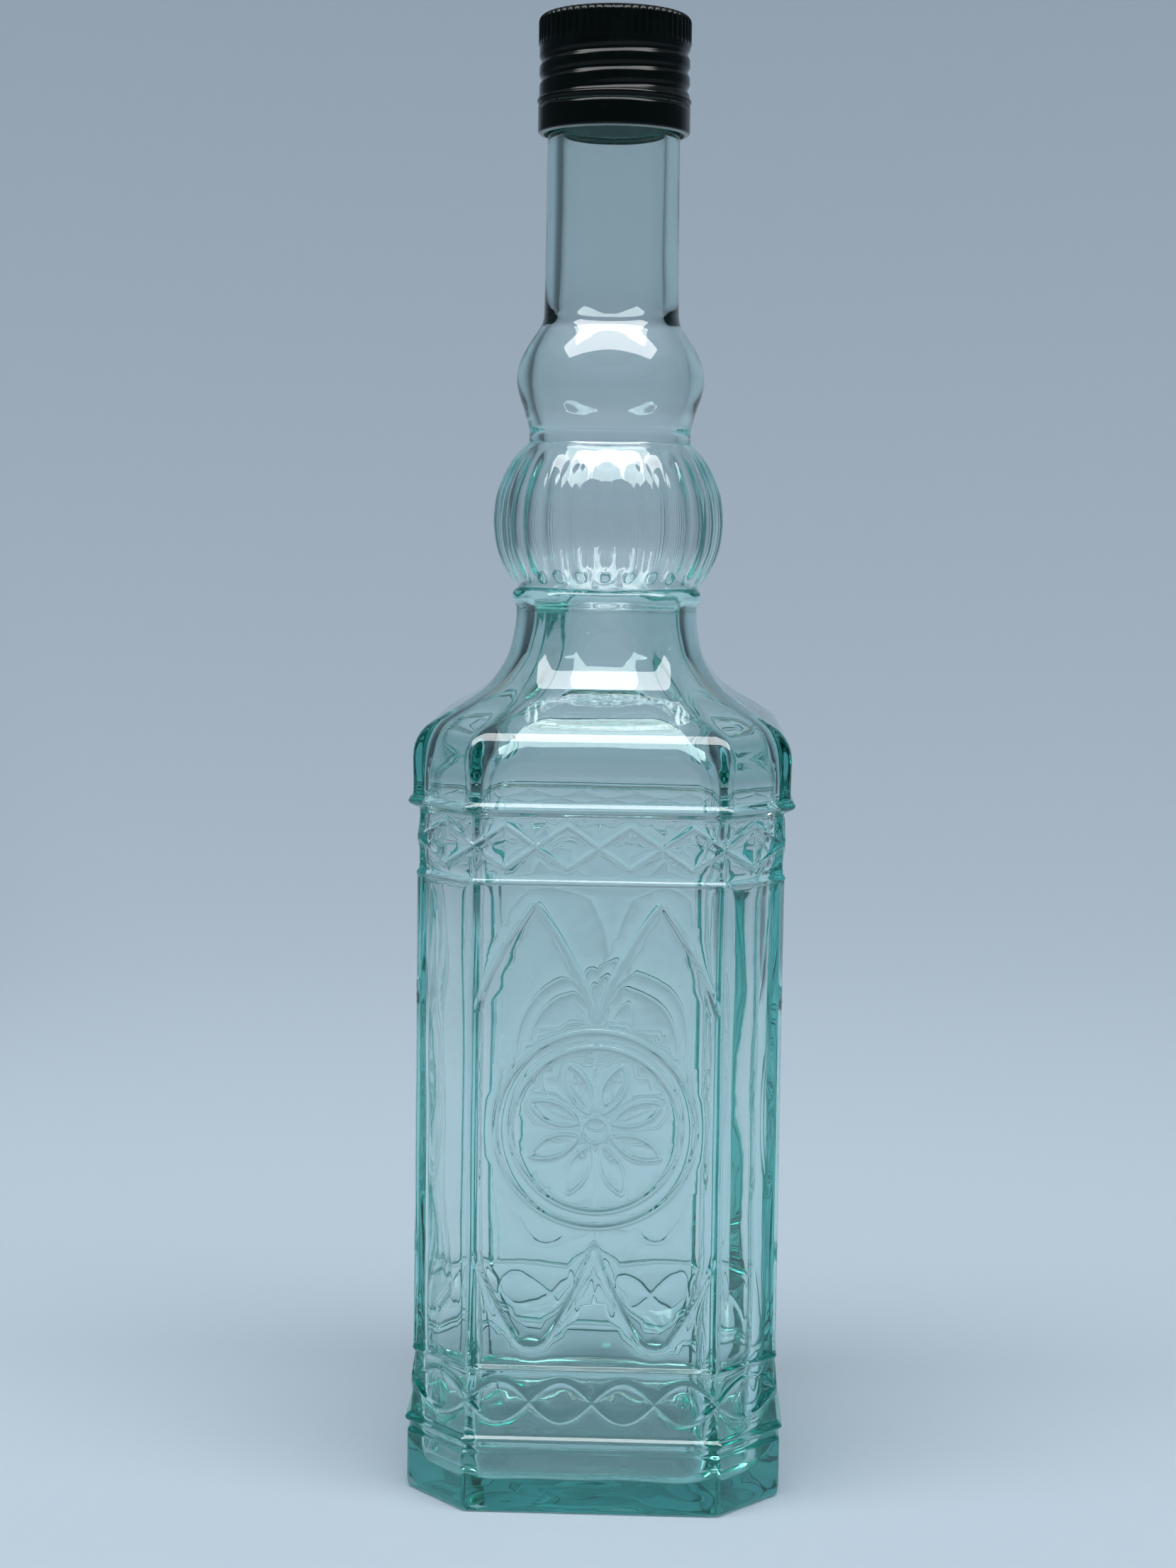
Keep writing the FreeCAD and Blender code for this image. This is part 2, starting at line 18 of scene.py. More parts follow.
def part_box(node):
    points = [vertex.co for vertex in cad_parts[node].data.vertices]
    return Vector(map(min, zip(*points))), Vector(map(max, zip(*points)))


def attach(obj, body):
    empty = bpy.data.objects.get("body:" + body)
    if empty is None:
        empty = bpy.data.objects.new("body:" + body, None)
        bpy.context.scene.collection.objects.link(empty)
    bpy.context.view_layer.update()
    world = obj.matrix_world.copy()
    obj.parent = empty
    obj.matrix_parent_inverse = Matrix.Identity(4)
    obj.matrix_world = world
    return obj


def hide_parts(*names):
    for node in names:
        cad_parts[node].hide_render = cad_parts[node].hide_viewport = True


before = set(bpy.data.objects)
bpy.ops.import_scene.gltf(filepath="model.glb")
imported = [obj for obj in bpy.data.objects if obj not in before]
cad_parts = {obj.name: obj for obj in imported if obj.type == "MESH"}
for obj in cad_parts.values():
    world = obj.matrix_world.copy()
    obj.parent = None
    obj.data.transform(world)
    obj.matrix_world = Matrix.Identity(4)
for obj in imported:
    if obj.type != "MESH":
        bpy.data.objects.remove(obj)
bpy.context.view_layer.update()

MM = 0.001

# %% [markdown]
# ## The camera
# The bottle was seen from a little above its middle, from half a metre away. A camera is a point, a
# direction and a lens. Turning the camera about the upright axis, then dipping it, then rolling it
# about its own axis keeps each of the three angles easy to read.

# %% Camera
CAMERA_PLACE = Vector((0.01428, -0.5311, 0.2054))
CAMERA_TURN = 0.0337
CAMERA_DIP = 0.1119
CAMERA_ROLL = 0.0130
LENS_MM = 57.7

scene = bpy.context.scene
turn = Matrix.Rotation(CAMERA_TURN, 4, "Z")
dip = Matrix.Rotation(math.pi / 2 - CAMERA_DIP, 4, "X")
roll = Matrix.Rotation(CAMERA_ROLL, 4, "Z")
camera = bpy.data.objects.new("camera", bpy.data.cameras.new("camera"))
camera.data.lens = LENS_MM
camera.matrix_world = Matrix.Translation(CAMERA_PLACE) @ turn @ dip @ roll
scene.collection.objects.link(camera)
scene.camera = camera
scene.view_settings.view_transform = "Standard"
print("camera at", [round(c, 3) for c in CAMERA_PLACE], "dips", round(math.degrees(CAMERA_DIP), 1))

# %% [markdown]
# ## Wiring nodes in one line
# Materials and Geometry Nodes are both made of nodes and links. The first helpers add a node and
# fill its inputs, in order or by name: a socket is linked, a plain value is typed in, and None
# leaves the input as it is. The others are short names for sums that come up again and again.

# %% Node helpers
def fill_socket(tree, socket, source):
    if isinstance(source, bpy.types.NodeSocket):
        tree.links.new(source, socket)
    elif source is not None:
        socket.default_value = source


def add_node(tree, kind, *sources, **settings):
    node = tree.nodes.new(kind)
    for name, value in settings.items():
        setattr(node, name, value)
    for socket, source in zip(node.inputs, sources):
        fill_socket(tree, socket, source)
    return node


def fill(tree, node, sources):
    for name, source in sources.items():
        fill_socket(tree, node.inputs[name], source)
    return node


# %% Sums in nodes
def sum_up(tree, operation, *sources):
    return add_node(tree, "ShaderNodeMath", *sources, operation=operation).outputs[0]


def product(tree, first, *others):
    for other in others:
        first = sum_up(tree, "MULTIPLY", first, other)
    return first


def vector_sum(tree, operation, *sources):
    node = add_node(tree, "ShaderNodeVectorMath", *sources, operation=operation)
    return node.outputs["Value" if operation in ("DOT_PRODUCT", "LENGTH") else "Vector"]


def map_over(tree, value, *limits):
    """Carries a value from one range, its first two limits, over to another."""
    return add_node(tree, "ShaderNodeMapRange", value, *limits).outputs[0]


def ease(tree, value, start, end):
    """0 before start, 1 after end and a smooth rise between them."""
    return add_node(tree, "ShaderNodeMapRange", value, start, end, 0.0, 1.0,
                    interpolation_type="SMOOTHSTEP").outputs[0]


def ease_from(tree, value, start, fade):
    """0 at start and 1 past a fade, which is below 0 where it runs downwards."""
    return ease(tree, value, start, sum_up(tree, "ADD", start, fade))


# %% [markdown]
# ## The studio
# The bottle stands on a pale grey-blue paper that rises behind it with no visible corner. A
# photographer bends one sheet up a wall. Here the sheet is a wide shallow bowl, turned from one
# curve, so that the paper is there from every side. Far off at the sides and in front its colour is
# painted dark, as painted shade for an unlit room, because clear glass draws its edges with the dark
# that it bends into view.

# %% Paper bowl
PAPER_FLAT = 0.6
FLAT_SHARES = (0.0, 0.1, 0.3, 0.6)
PAPER_BEND = 1.5
BEND_STEPS = 16
PAPER_HEIGHT = 1.8
PAPER_STEPS = 96
PAPER_WELD = 1e-5

bowl_line = [(PAPER_FLAT * share, 0.0) for share in FLAT_SHARES]
for step in range(BEND_STEPS + 1):
    angle = math.pi / 2 * step / BEND_STEPS
    bowl_line.append((PAPER_FLAT + PAPER_BEND * math.sin(angle),
                      PAPER_BEND * (1 - math.cos(angle))))
bowl_line.append((PAPER_FLAT + PAPER_BEND, PAPER_HEIGHT))

paper_mesh = bmesh.new()
line = [paper_mesh.verts.new((radius, 0.0, height)) for radius, height in bowl_line]
edges = [paper_mesh.edges.new(pair) for pair in zip(line, line[1:])]
bmesh.ops.spin(paper_mesh, geom=line + edges, axis=(0, 0, 1), cent=(0, 0, 0),
               angle=math.tau, steps=PAPER_STEPS)
bmesh.ops.remove_doubles(paper_mesh, verts=paper_mesh.verts, dist=PAPER_WELD)
bmesh.ops.recalc_face_normals(paper_mesh, faces=paper_mesh.faces)
for face in paper_mesh.faces:
    face.smooth = True
paper_data = bpy.data.meshes.new("paper")
paper_mesh.to_mesh(paper_data)
paper_mesh.free()
paper = bpy.data.objects.new("paper", paper_data)
scene.collection.objects.link(paper)
print("paper bowl", len(paper_data.polygons), "faces")

# %% [markdown]
# ## What every finish needs
# A finish is a material: a shader and the nodes that vary it over the piece. All of them here start
# from the place of a point on its piece, so that a pattern stays put when the piece moves. Clouds
# of noise vary a colour or a gloss, and a bump bends the light where relief is too fine to model.

# %% Finish helpers
def new_finish(name):
    """A material, its tree, its shader and the place of each point on the piece."""
    finish = bpy.data.materials.new(name)
    finish.use_nodes = True
    tree = finish.node_tree
    where = add_node(tree, "ShaderNodeTexCoord").outputs["Object"]
    return finish, tree, tree.nodes["Principled BSDF"], where


def cloud(tree, where, scale, detail=2.0):
    return add_node(tree, "ShaderNodeTexNoise", where, None, scale, detail).outputs["Fac"]


def mix_values(tree, share, first, second):
    return add_node(tree, "ShaderNodeMix", share, None, first, second).outputs[0]


def mix_colours(tree, share, first, second):
    other_kinds = [None] * 5
    return add_node(tree, "ShaderNodeMix", share, *other_kinds, first, second,
                    data_type="RGBA").outputs[2]


def emboss(tree, shader, height, strength, depth=None):
    bump = fill(tree, add_node(tree, "ShaderNodeBump", strength, depth), {"Height": height})
    fill(tree, shader, {"Normal": bump.outputs["Normal"]})


# %% Paper finish
PAPER_PALE = (0.58, 0.685, 0.785, 1.0)
# The second paper colour is painted shade: a dark tone standing in for an unlit room around the
# studio.
PAPER_PAINTED_SHADE = (0.15, 0.18, 0.21, 1.0)
PAINTED_SHADE_HEADING = math.radians(-97)
PAINTED_SHADE_FACING = (-0.9, -0.55)
PAINTED_SHADE_DISTANCE = (0.35, 0.9)

paper_with_painted_shade, tree, shader, where = new_finish("grey_blue_paper_painted_shade")
painted_shade_side = (math.cos(PAINTED_SHADE_HEADING), math.sin(PAINTED_SHADE_HEADING), 0.0)
spread = vector_sum(tree, "MULTIPLY", where, (1.0, 1.0, 0.0))
facing = vector_sum(tree, "DOT_PRODUCT", vector_sum(tree, "NORMALIZE", spread), painted_shade_side)
distance = vector_sum(tree, "LENGTH", spread)
# Painted shade: the paper's colour turns dark far off at the sides and in front.
painted_shade = product(tree, ease(tree, facing, *PAINTED_SHADE_FACING), ease(tree, distance, *PAINTED_SHADE_DISTANCE))
fill(tree, shader, {"Base Color": mix_colours(tree, painted_shade, PAPER_PALE, PAPER_PAINTED_SHADE),
                    "Roughness": 0.95, "Specular IOR Level": 0.0})
emboss(tree, shader, cloud(tree, where, scale=900.0), strength=0.05)
paper_data.materials.append(paper_with_painted_shade)
print("paper goes from", PAPER_PALE[:3], "to", PAPER_PAINTED_SHADE[:3], "far off at the sides and in front")

# %% [markdown]
# ## The light
# Glass shows its shape by what it mirrors. One wide soft roof window, high and a little in front,
# draws the white patches on the bulbs and the shoulder. A second lamp, a step in front of it, is
# hidden from matt surfaces: it only makes the mirrored window as bright as a real one. Two lamps in
# exactly one place would not do, because a mirrored ray meets only one of them. A weak lamp
# lights the far paper, and an even surround fills in the rest. Cycles needs more bounces than
# usual here, because a look through the bottle crosses four glass surfaces and each one mirrors.

# %% Lamps
WINDOW_SIZE = (2.3, 0.6)
WINDOW_PLACE = Vector((0.0, -0.42, 1.35))
WINDOW_TARGET = Vector((0.0, 0.0, 0.2))
WINDOW_WATTS = 19.0
GLINT_WATTS = 22.0
GLINT_STEP = 0.02
PAPER_LAMP_PLACE = Vector((0.0, 0.3, 1.7))
PAPER_LAMP_TARGET = Vector((0.0, 2.1, 0.7))
PAPER_LAMP_WATTS = 5.0


def soft_window(name, place, target, watts):
    lamp = bpy.data.lights.new(name, "AREA")
    lamp.shape = "RECTANGLE"
    lamp.size, lamp.size_y = WINDOW_SIZE
    lamp.energy = watts
    hung = bpy.data.objects.new(name, lamp)
    hung.location = place
    hung.rotation_euler = (target - place).to_track_quat("-Z", "Y").to_euler()
    scene.collection.objects.link(hung)
    return hung


soft_window("window", WINDOW_PLACE, WINDOW_TARGET, WINDOW_WATTS)
glint_place = WINDOW_PLACE + GLINT_STEP * (WINDOW_TARGET - WINDOW_PLACE).normalized()
glint = soft_window("window_glint", glint_place, WINDOW_TARGET, GLINT_WATTS)
glint.visible_diffuse = False
paper_lamp = soft_window("paper_lamp", PAPER_LAMP_PLACE, PAPER_LAMP_TARGET, PAPER_LAMP_WATTS)
paper_lamp.visible_glossy = False
paper_lamp.visible_transmission = False
print("window radiance", round(WINDOW_WATTS / (math.pi * math.prod(WINDOW_SIZE)), 2))

# %% Surround and bounces
GLASS_BOUNCES = 24

world = bpy.data.worlds.new("surround")
world.use_nodes = True
tree = world.node_tree
fill(tree, tree.nodes["Background"], {"Color": (0.88, 0.94, 1.0, 1.0), "Strength": 0.3})
scene.world = world
scene.cycles.max_bounces = GLASS_BOUNCES
scene.cycles.transmission_bounces = GLASS_BOUNCES
scene.cycles.glossy_bounces = GLASS_BOUNCES
print("light may bounce", GLASS_BOUNCES, "times")

# %% [markdown]
# ## The eight-sided section
# Every level of the body is the same figure: a square whose four corners are cut by flat facets,
# with all eight edges softly rounded. One function gives a point and its outward direction for a
# distance along the edge, measured from the middle of a face, for a figure whose half width is 1.
# An eighth of the figure is enough. Mirroring and turning it makes the whole ring, so neighbours
# always share the same seam. Towards the throat the edges round off and the facets widen.

# %% Section of the body
CORNER_CUT = 0.325
BODY_EDGE = 0.045
EDGE_ANGLE = math.pi / 4
FACE_POINTS = 9
EDGE_POINTS = 6
FACET_POINTS = 4
HEM_OF_EDGE = 0.35
HEM_OF_FACET = 0.4


def section(along, rounding, cut=CORNER_CUT):
    """Places and outward directions at distances along the edge of the unit section."""
    along = np.asarray(along, float)
    flat_half = 1.0 - cut
    reach = rounding * math.tan(EDGE_ANGLE / 2)
    share = np.clip((along - flat_half + reach) / (2 * reach), 0.0, 1.0)
    lean = share * EDGE_ANGLE
    out = np.stack([np.sin(lean), -np.cos(lean)], -1)
    place = np.stack([np.minimum(along, flat_half - reach), np.full_like(along, -1.0)], -1)
    place = place + rounding * (out - np.array([0.0, -1.0]))
    past = np.maximum(along - flat_half - reach, 0.0)[:, None]
    return place + past * math.sqrt(0.5), out


def stations(rounding, cut=CORNER_CUT):
    """Distances along one eighth where a ring has its points, with a hem beside each edge."""
    flat_half, facet_half = 1.0 - cut, cut / math.sqrt(2.0)
    reach = rounding * math.tan(EDGE_ANGLE / 2)
    hem = min(HEM_OF_EDGE * reach, HEM_OF_FACET * (facet_half - reach))
    face = np.append(np.linspace(0.0, flat_half - reach - hem, FACE_POINTS), flat_half - reach)
    edge = np.linspace(flat_half - reach, flat_half + reach, EDGE_POINTS)[1:]
    facet = np.linspace(flat_half + reach + hem, flat_half + facet_half, FACET_POINTS)
    return np.concatenate([face, edge, facet])


print("points in an eighth:", len(stations(BODY_EDGE)))

# %% Rings of the body
BODY_HALF = 37.0
SHOULDER_EDGE = 0.09
THROAT_EDGE = 0.45
THROAT_CUT = 0.42
EDGES_UP = [(143.0, BODY_EDGE), (147.0, SHOULDER_EDGE), (160.0, SHOULDER_EDGE),
            (180.0, THROAT_EDGE)]
CUTS_UP = [(160.0, CORNER_CUT), (180.0, THROAT_CUT)]
QUARTER_TURN = np.array([[0, -1], [1, 0]])


def by_level(level, rows):
    """A value read off rows of heights and values, with straight lines between them."""
    return np.interp(level, *zip(*rows))


def spun(points, quarters):
    return points @ np.linalg.matrix_power(QUARTER_TURN, quarters).T


def at_level(ring, level):
    return np.column_stack([ring, np.full(len(ring), level)])


def facet_ring(half, level, rounding=None):
    """One level of the body: an eighth mirrored and turned, anticlockwise from above."""
    rounding = rounding or by_level(level, EDGES_UP)
    cut = by_level(level, CUTS_UP)
    eighth = section(stations(rounding, cut), rounding, cut)[0] * half
    mirrored = eighth[::-1] * np.array([-1.0, 1.0])
    quarter = np.concatenate([mirrored[:-1], eighth[:-1]])
    return at_level(np.concatenate([spun(quarter, turns) for turns in range(4)]), level)


print("points in an eight-sided ring:", len(facet_ring(BODY_HALF, 0.0)))

# %% [markdown]
# ## Smooth outlines
# The bottle's outline bulges and pinches. A few measured points carry it, and a Catmull-Rom curve
# through them fills in the rest, because that curve passes through every point and keeps its
# direction there. Each row below is a half width or radius and a height, in millimetres.

# %% Curve through points
def smooth_line(points, steps):
    """A smooth line through points, with so many steps from each to the next."""
    points = np.asarray(points, float)
    ends = np.vstack([2 * points[0] - points[1], points, 2 * points[-1] - points[-2]])
    line = []
    for before, start, end, after in zip(ends, ends[1:], ends[2:], ends[3:]):
        for share in np.arange(steps) / steps:
            line.append(0.5 * (2 * start + (end - before) * share
                               + (2 * before - 5 * start + 4 * end - after) * share ** 2
                               + (3 * start - before - 3 * end + after) * share ** 3))
    return np.array(line + [points[-1]])


# %% Outline of the glass
BELT_LOW = 17.4
BELT_HIGH = 142.8

foot = [(37.6, 0.0), (38.35, 0.35), (38.75, 1.3), (38.8, 4.0), (38.8, 9.0), (38.8, 12.1)]
base_bead = [(38.75, 12.5), (38.35, 12.95), (38.22, 13.3), (38.3, 13.8), (38.5, 14.3),
             (39.0, 14.7), (39.25, 15.1), (39.2, 15.4), (38.72, 15.95), (38.42, 16.2),
             (38.25, 16.6), (38.2, BELT_LOW)]
shoulder = [(37.0, BELT_HIGH), (37.35, 143.2), (38.3, 143.7), (39.05, 144.2), (39.25, 144.7),
            (39.2, 145.0), (38.75, 145.62), (38.5, 145.85), (38.38, 146.4), (38.35, 149.0),
            (38.45, 152.0), (38.35, 155.0), (37.7, 157.3), (36.0, 159.7), (33.0, 161.7),
            (29.9, 163.5), (24.8, 167.0), (21.9, 170.6), (20.1, 174.1), (19.25, 177.7),
            (18.8, 181.3), (18.8, 183.4)]
throat_ring = [(18.8, 183.6), (19.2, 184.3), (19.7, 185.2), (19.75, 185.9), (19.4, 186.8),
               (18.9, 187.3)]
bulbs = [(19.0, 187.5), (19.9, 188.6), (22.1, 192.0), (23.5, 195.7), (24.05, 199.3), (24.1, 202.2),
         (23.6, 206.4), (22.4, 209.9), (20.6, 213.4), (18.6, 216.0), (17.1, 217.3), (16.9, 218.2),
         (16.9, 219.8), (17.05, 220.8), (17.9, 224.0), (19.1, 227.5), (19.6, 231.0), (18.8, 234.5),
         (17.0, 238.0), (15.0, 241.0), (14.2, 242.8), (14.0, 246.0), (13.85, 256.0), (13.7, 276.0),
         (13.7, 281.0)]
finish_neck = [(13.7, 281.4), (14.3, 281.7), (15.0, 282.3), (15.1, 283.2), (15.1, 284.6),
               (14.9, 285.3), (14.2, 285.8), (14.0, 286.6), (14.0, 289.0), (14.0, 299.0),
               (13.9, 299.9), (13.5, 300.9), (12.6, 301.5), (11.8, 301.6), (11.0, 301.4),
               (10.7, 300.8)]
print("outer heights", foot[0][1], "to", max(level for _, level in finish_neck), "mm")

# %% Outline of the hollow
FLOOR_MIDDLE = 6.9

bore = [(10.6, 300.0), (10.6, 292.0), (10.6, 270.0), (10.6, 256.0), (10.75, 250.0), (11.2, 245.4),
        (12.0, 242.4)]
inner_bulbs = [(12.0, 242.4), (13.8, 239.2), (15.6, 235.4), (16.6, 231.0), (16.2, 227.4),
               (15.4, 224.0), (14.5, 221.0), (14.0, 219.0), (14.3, 216.8), (16.4, 213.8),
               (18.8, 210.4), (20.5, 206.4), (21.2, 202.2), (21.2, 199.0), (20.6, 195.6),
               (19.0, 191.8), (17.0, 188.4), (15.6, 186.0)]
inner_shoulder = [(15.3, 185.0), (15.1, 181.0), (15.5, 177.6), (16.4, 173.8), (18.3, 170.0),
                  (21.3, 166.0), (26.0, 162.0), (30.4, 158.4), (33.2, 154.8), (34.0, 150.6),
                  (34.2, 146.0)]
inner_body = [(34.2, 146.0), (34.1, 120.0), (34.0, 80.0), (33.7, 40.0), (33.6, 26.0)]
inner_floor = [(33.6, 26.0), (33.5, 17.0), (33.3, 10.0), (32.4, 6.4), (30.4, 4.7), (26.0, 4.2),
               (19.0, 4.8), (10.0, 6.2), (3.0, 6.8)]
print("wall of the fluted bulb:", round(max(bulbs)[0] - max(inner_bulbs)[0], 1), "mm")

# %% [markdown]
# ## The uneven hollow
# The hollow of a blown bottle is never quite in the middle and its four corners are never alike. So
# each corner has its own cut and rounding, and its two walls have their own distances. Towards the
# shoulder the walls even out, and in the throat the hollow turns round. An even octagon with fully
# rounded edges is a circle, which is where both changes end.

# %% Section of the hollow
HOLLOW_CORNERS = [(0.314, 0.287), (0.065, 0.098), (0.17, 0.07), (0.30, 0.07)]
HOLLOW_WALLS = [(0.96, 0.98), (0.96, 0.853), (1.01, 0.853), (1.01, 0.98)]
HOLLOW_EVENS = [(126.0, 0.0), (146.0, 1.0)]
HOLLOW_ROUNDS = [(150.0, 0.0), (178.0, 0.8), (185.0, 1.0)]
EVEN_CUT = 0.34
EVEN_EDGE = 0.15
ROUND_CUT = 2.0 - math.sqrt(2.0)
ROUND_EDGE = 0.96


def mixed(start, end, share):
    return start + (end - start) * share


def hollow_ring(half, level):
    """One level of the hollow: its front right, back right, back left and front left corners."""
    even, rounded = by_level(level, HOLLOW_EVENS), by_level(level, HOLLOW_ROUNDS)
    ring = []
    for turns, ((cut, rounding), walls) in enumerate(zip(HOLLOW_CORNERS, HOLLOW_WALLS)):
        cut = mixed(mixed(cut, EVEN_CUT, even), ROUND_CUT, rounded)
        rounding = mixed(mixed(rounding, EVEN_EDGE, even), ROUND_EDGE, rounded)
        eighth = section(stations(rounding, cut), rounding, cut)[0]
        corner = np.concatenate([eighth, -eighth[-2::-1, ::-1]])
        ring.append(spun(corner[:-1], turns) * (half * mixed(np.array(walls), 1.0, even)))
    return at_level(np.roll(np.concatenate(ring), len(eighth) - 1, axis=0), level)


print("points in a ring of the hollow:", len(hollow_ring(*inner_body[0])))

# %% [markdown]
# ## The raised drawing on the body
# The mould for the glass was cut with a drawing that comes out raised: a sunk panel on each broad
# face, two pointed ovals, a round medallion with a plain compass-drawn rosette, a row of diamonds
# above and two crossing waves below. Bump in the material would not refract properly, so the lines
# are real ridges. They are drawn here on one unrolled eighth of the body, as flat lines in
# millimetres along the face and up.

# %% Lines to draw with
LINE_STEP = 1.2


def straight(start, end):
    count = max(2, round(math.dist(start, end) / LINE_STEP) + 1)
    return np.linspace(start, end, count)


def bow(start, end, sag):
    """A round arc between two points that stands sag to the right of its chord."""
    start, end = np.array(start, float), np.array(end, float)
    chord = end - start
    span = np.linalg.norm(chord)
    radius = (span ** 2 / 4 + sag ** 2) / (2 * sag)
    half_angle = math.asin(span / 2 / radius)
    way = chord / span
    side = np.array([way[1], -way[0]])
    centre = (start + end) / 2 - side * (radius - sag)
    count = max(5, round(2 * half_angle * radius / LINE_STEP))
    sweep = np.linspace(-half_angle, half_angle, count)
    return centre + radius * (np.outer(np.cos(sweep), side) + np.outer(np.sin(sweep), way))


def arc(centre, radius, sweep):
    """Points of a circle at the angles given."""
    return np.array(centre) + radius * np.column_stack([np.cos(sweep), np.sin(sweep)])


def half_circle(centre, radius):
    count = max(9, round(math.pi * radius / LINE_STEP))
    return arc(centre, radius, np.linspace(-math.pi / 2, math.pi / 2, count))


# %% Rows of diamonds and waves
FACE_EDGE = (1.0 - CORNER_CUT) * BODY_HALF
EIGHTH_END = FACE_EDGE + CORNER_CUT / math.sqrt(2.0) * BODY_HALF
DIAMONDS = (132.8, 141.4)
WAVES = (19.4, 27.4)
WAVE_POINTS = 61
LATTICE_LINE = (0.8, 0.46)

drawing = []
corners_at = [*np.linspace(0.0, FACE_EDGE, 5), EIGHTH_END]
middle = sum(DIAMONDS) / 2
for tip in DIAMONDS:
    zigzag = list(zip(corners_at, [middle, tip] * 3))
    for start, end in zip(zigzag, zigzag[1:]):
        drawing.append((straight(start, end), LATTICE_LINE))
middle = sum(WAVES) / 2
quarters = np.linspace(0.0, len(corners_at) - 1, WAVE_POINTS)
along = np.interp(quarters, range(len(corners_at)), corners_at)
for tip in WAVES:
    wave = middle + (tip - middle) * np.sin(quarters * math.pi / 2)
    drawing.append((np.column_stack([along, wave]), LATTICE_LINE))
print(len(drawing), "lines in the two rows")

# %% Ovals and medallion
OVAL_TIPS = (31.6, 126.0)
OVAL_SAG = 16.0
OVAL_ROUND = 3.0
OVAL_LINE = (1.0, 0.52)
MEDALLION = np.array([0.0, 79.7])
MEDALLION_RADII = (20.2, 17.0)
RING_LINE = (0.8, 0.52)
PETALS = 8
PETAL_EYE = 2.6
PETAL_FOOT = 3.6
PETAL_TIP = 14.4
PETAL_SAG = 2.1
PETAL_LINE = (0.62, 0.38)

low_tip, high_tip = [(FACE_EDGE / 2, tip) for tip in OVAL_TIPS]
oval_lean = 2 * math.atan(2 * OVAL_SAG / (OVAL_TIPS[1] - OVAL_TIPS[0]))
round_from = OVAL_TIPS[0] + OVAL_ROUND / math.tan(oval_lean) * math.cos(oval_lean)
sides = [bow(low_tip, high_tip, OVAL_SAG), bow(high_tip, low_tip, OVAL_SAG)]
right_side, left_side = [side[side[:, 1] > round_from] for side in sides]
round_tip = bow(left_side[-1], right_side[0], OVAL_ROUND * (1 - math.sin(oval_lean)))
drawing += [(side, OVAL_LINE) for side in (right_side, left_side, round_tip)]
drawing += [(half_circle(MEDALLION, radius), RING_LINE) for radius in MEDALLION_RADII]
drawing.append((half_circle(MEDALLION, PETAL_EYE), PETAL_LINE))
for petal in range(PETALS):
    angle = math.tau * (petal + 0.5) / PETALS
    way = np.array([math.sin(angle), math.cos(angle)])
    ends = (MEDALLION + way * PETAL_FOOT, MEDALLION + way * PETAL_TIP)
    drawing += [(bow(*ends[::side], PETAL_SAG), PETAL_LINE) for side in (1, -1)]
print(len(drawing), "lines on an eighth of the body")

# %% [markdown]
# ## From flat lines to a meshed belt
# The belt needs small faces along each ridge and large ones elsewhere. Each line gets parallel
# copies across its width, and a constrained Delaunay mesh keeps all of them as edges. The height of
# a point is then worked out from its distance to the nearest line, so crossings blend by
# themselves.

# %% Trim the lines and add the frame of the panel
PANEL_SIDE = 24.2
PANEL_LEVELS = (29.9, 129.9)
SILL_LINE = (0.90, 0.62)
CORNER_LINE = (1.15, 0.5)


def trim(points, left, right):
    """Pieces of a line that lie between two upright limits."""
    pieces, piece = [], []
    for start, end in zip(points, points[1:]):
        cuts = [(limit - start[0]) / (end[0] - start[0]) for limit in (left, right)
                if (start[0] - limit) * (end[0] - limit) < 0]
        if left <= start[0] <= right and not piece:
            piece = [start]
        piece += [start + cut * (end - start) for cut in sorted(cuts)]
        if left <= end[0] <= right:
            piece.append(end)
        elif piece:
            pieces.append(np.array(piece))
            piece = []
    return pieces + ([np.array(piece)] if len(piece) > 1 else [])


ridges = []
for points, line in drawing:
    right = PANEL_SIDE if line == OVAL_LINE else EIGHTH_END
    ridges += [(piece, line) for piece in trim(points, 0.0, right)]
for level in PANEL_LEVELS:
    ridges.append((straight((0.0, level), (EIGHTH_END, level)), SILL_LINE))
ridges.append((straight(*[(FACE_EDGE, level) for level in PANEL_LEVELS]), CORNER_LINE))
print(len(ridges), "ridges after trimming")

# %% Height of the relief
PANEL_DEPTH = 0.6
PANEL_BEVEL = 0.7


def distance_to(points, line):
    nearest = np.full(len(points), math.inf)
    for start, end in zip(line, line[1:]):
        way = end - start
        share = np.clip((points - start) @ way / (way @ way), 0.0, 1.0)
        off = np.linalg.norm(points - start - share[:, None] * way, axis=1)
        nearest = np.minimum(nearest, off)
    return nearest


def relief(points):
    inside = np.minimum.reduce([PANEL_SIDE - points[:, 0], points[:, 1] - PANEL_LEVELS[0],
                                PANEL_LEVELS[1] - points[:, 1]])
    share = np.clip(inside / PANEL_BEVEL, 0.0, 1.0)
    sunk = -PANEL_DEPTH * share ** 2 * (3 - 2 * share)
    raised = np.zeros(len(points))
    for line, (half_width, height) in ridges:
        off = np.clip(distance_to(points, line) / half_width, 0.0, 1.0)
        raised = np.maximum(raised, height * (1 - off ** 2) ** 2)
    return sunk + raised


# %% Points and edges for the belt
FIELD_STEP = 2.6
KEEP_CLEAR = 1.0
ACROSS = (-1.0, -0.6, -0.25, 0.0, 0.25, 0.6, 1.0)
BEVEL_SHARES = (0.0, 0.3, 0.7, 1.0)

belt_points, belt_edges = [], []


def lay(points):
    """Adds a line to the belt's flat drawing, as points joined by edges."""
    first = len(belt_points)
    belt_points.extend(map(tuple, points))
    belt_edges.extend((first + n, first + n + 1) for n in range(len(points) - 1))


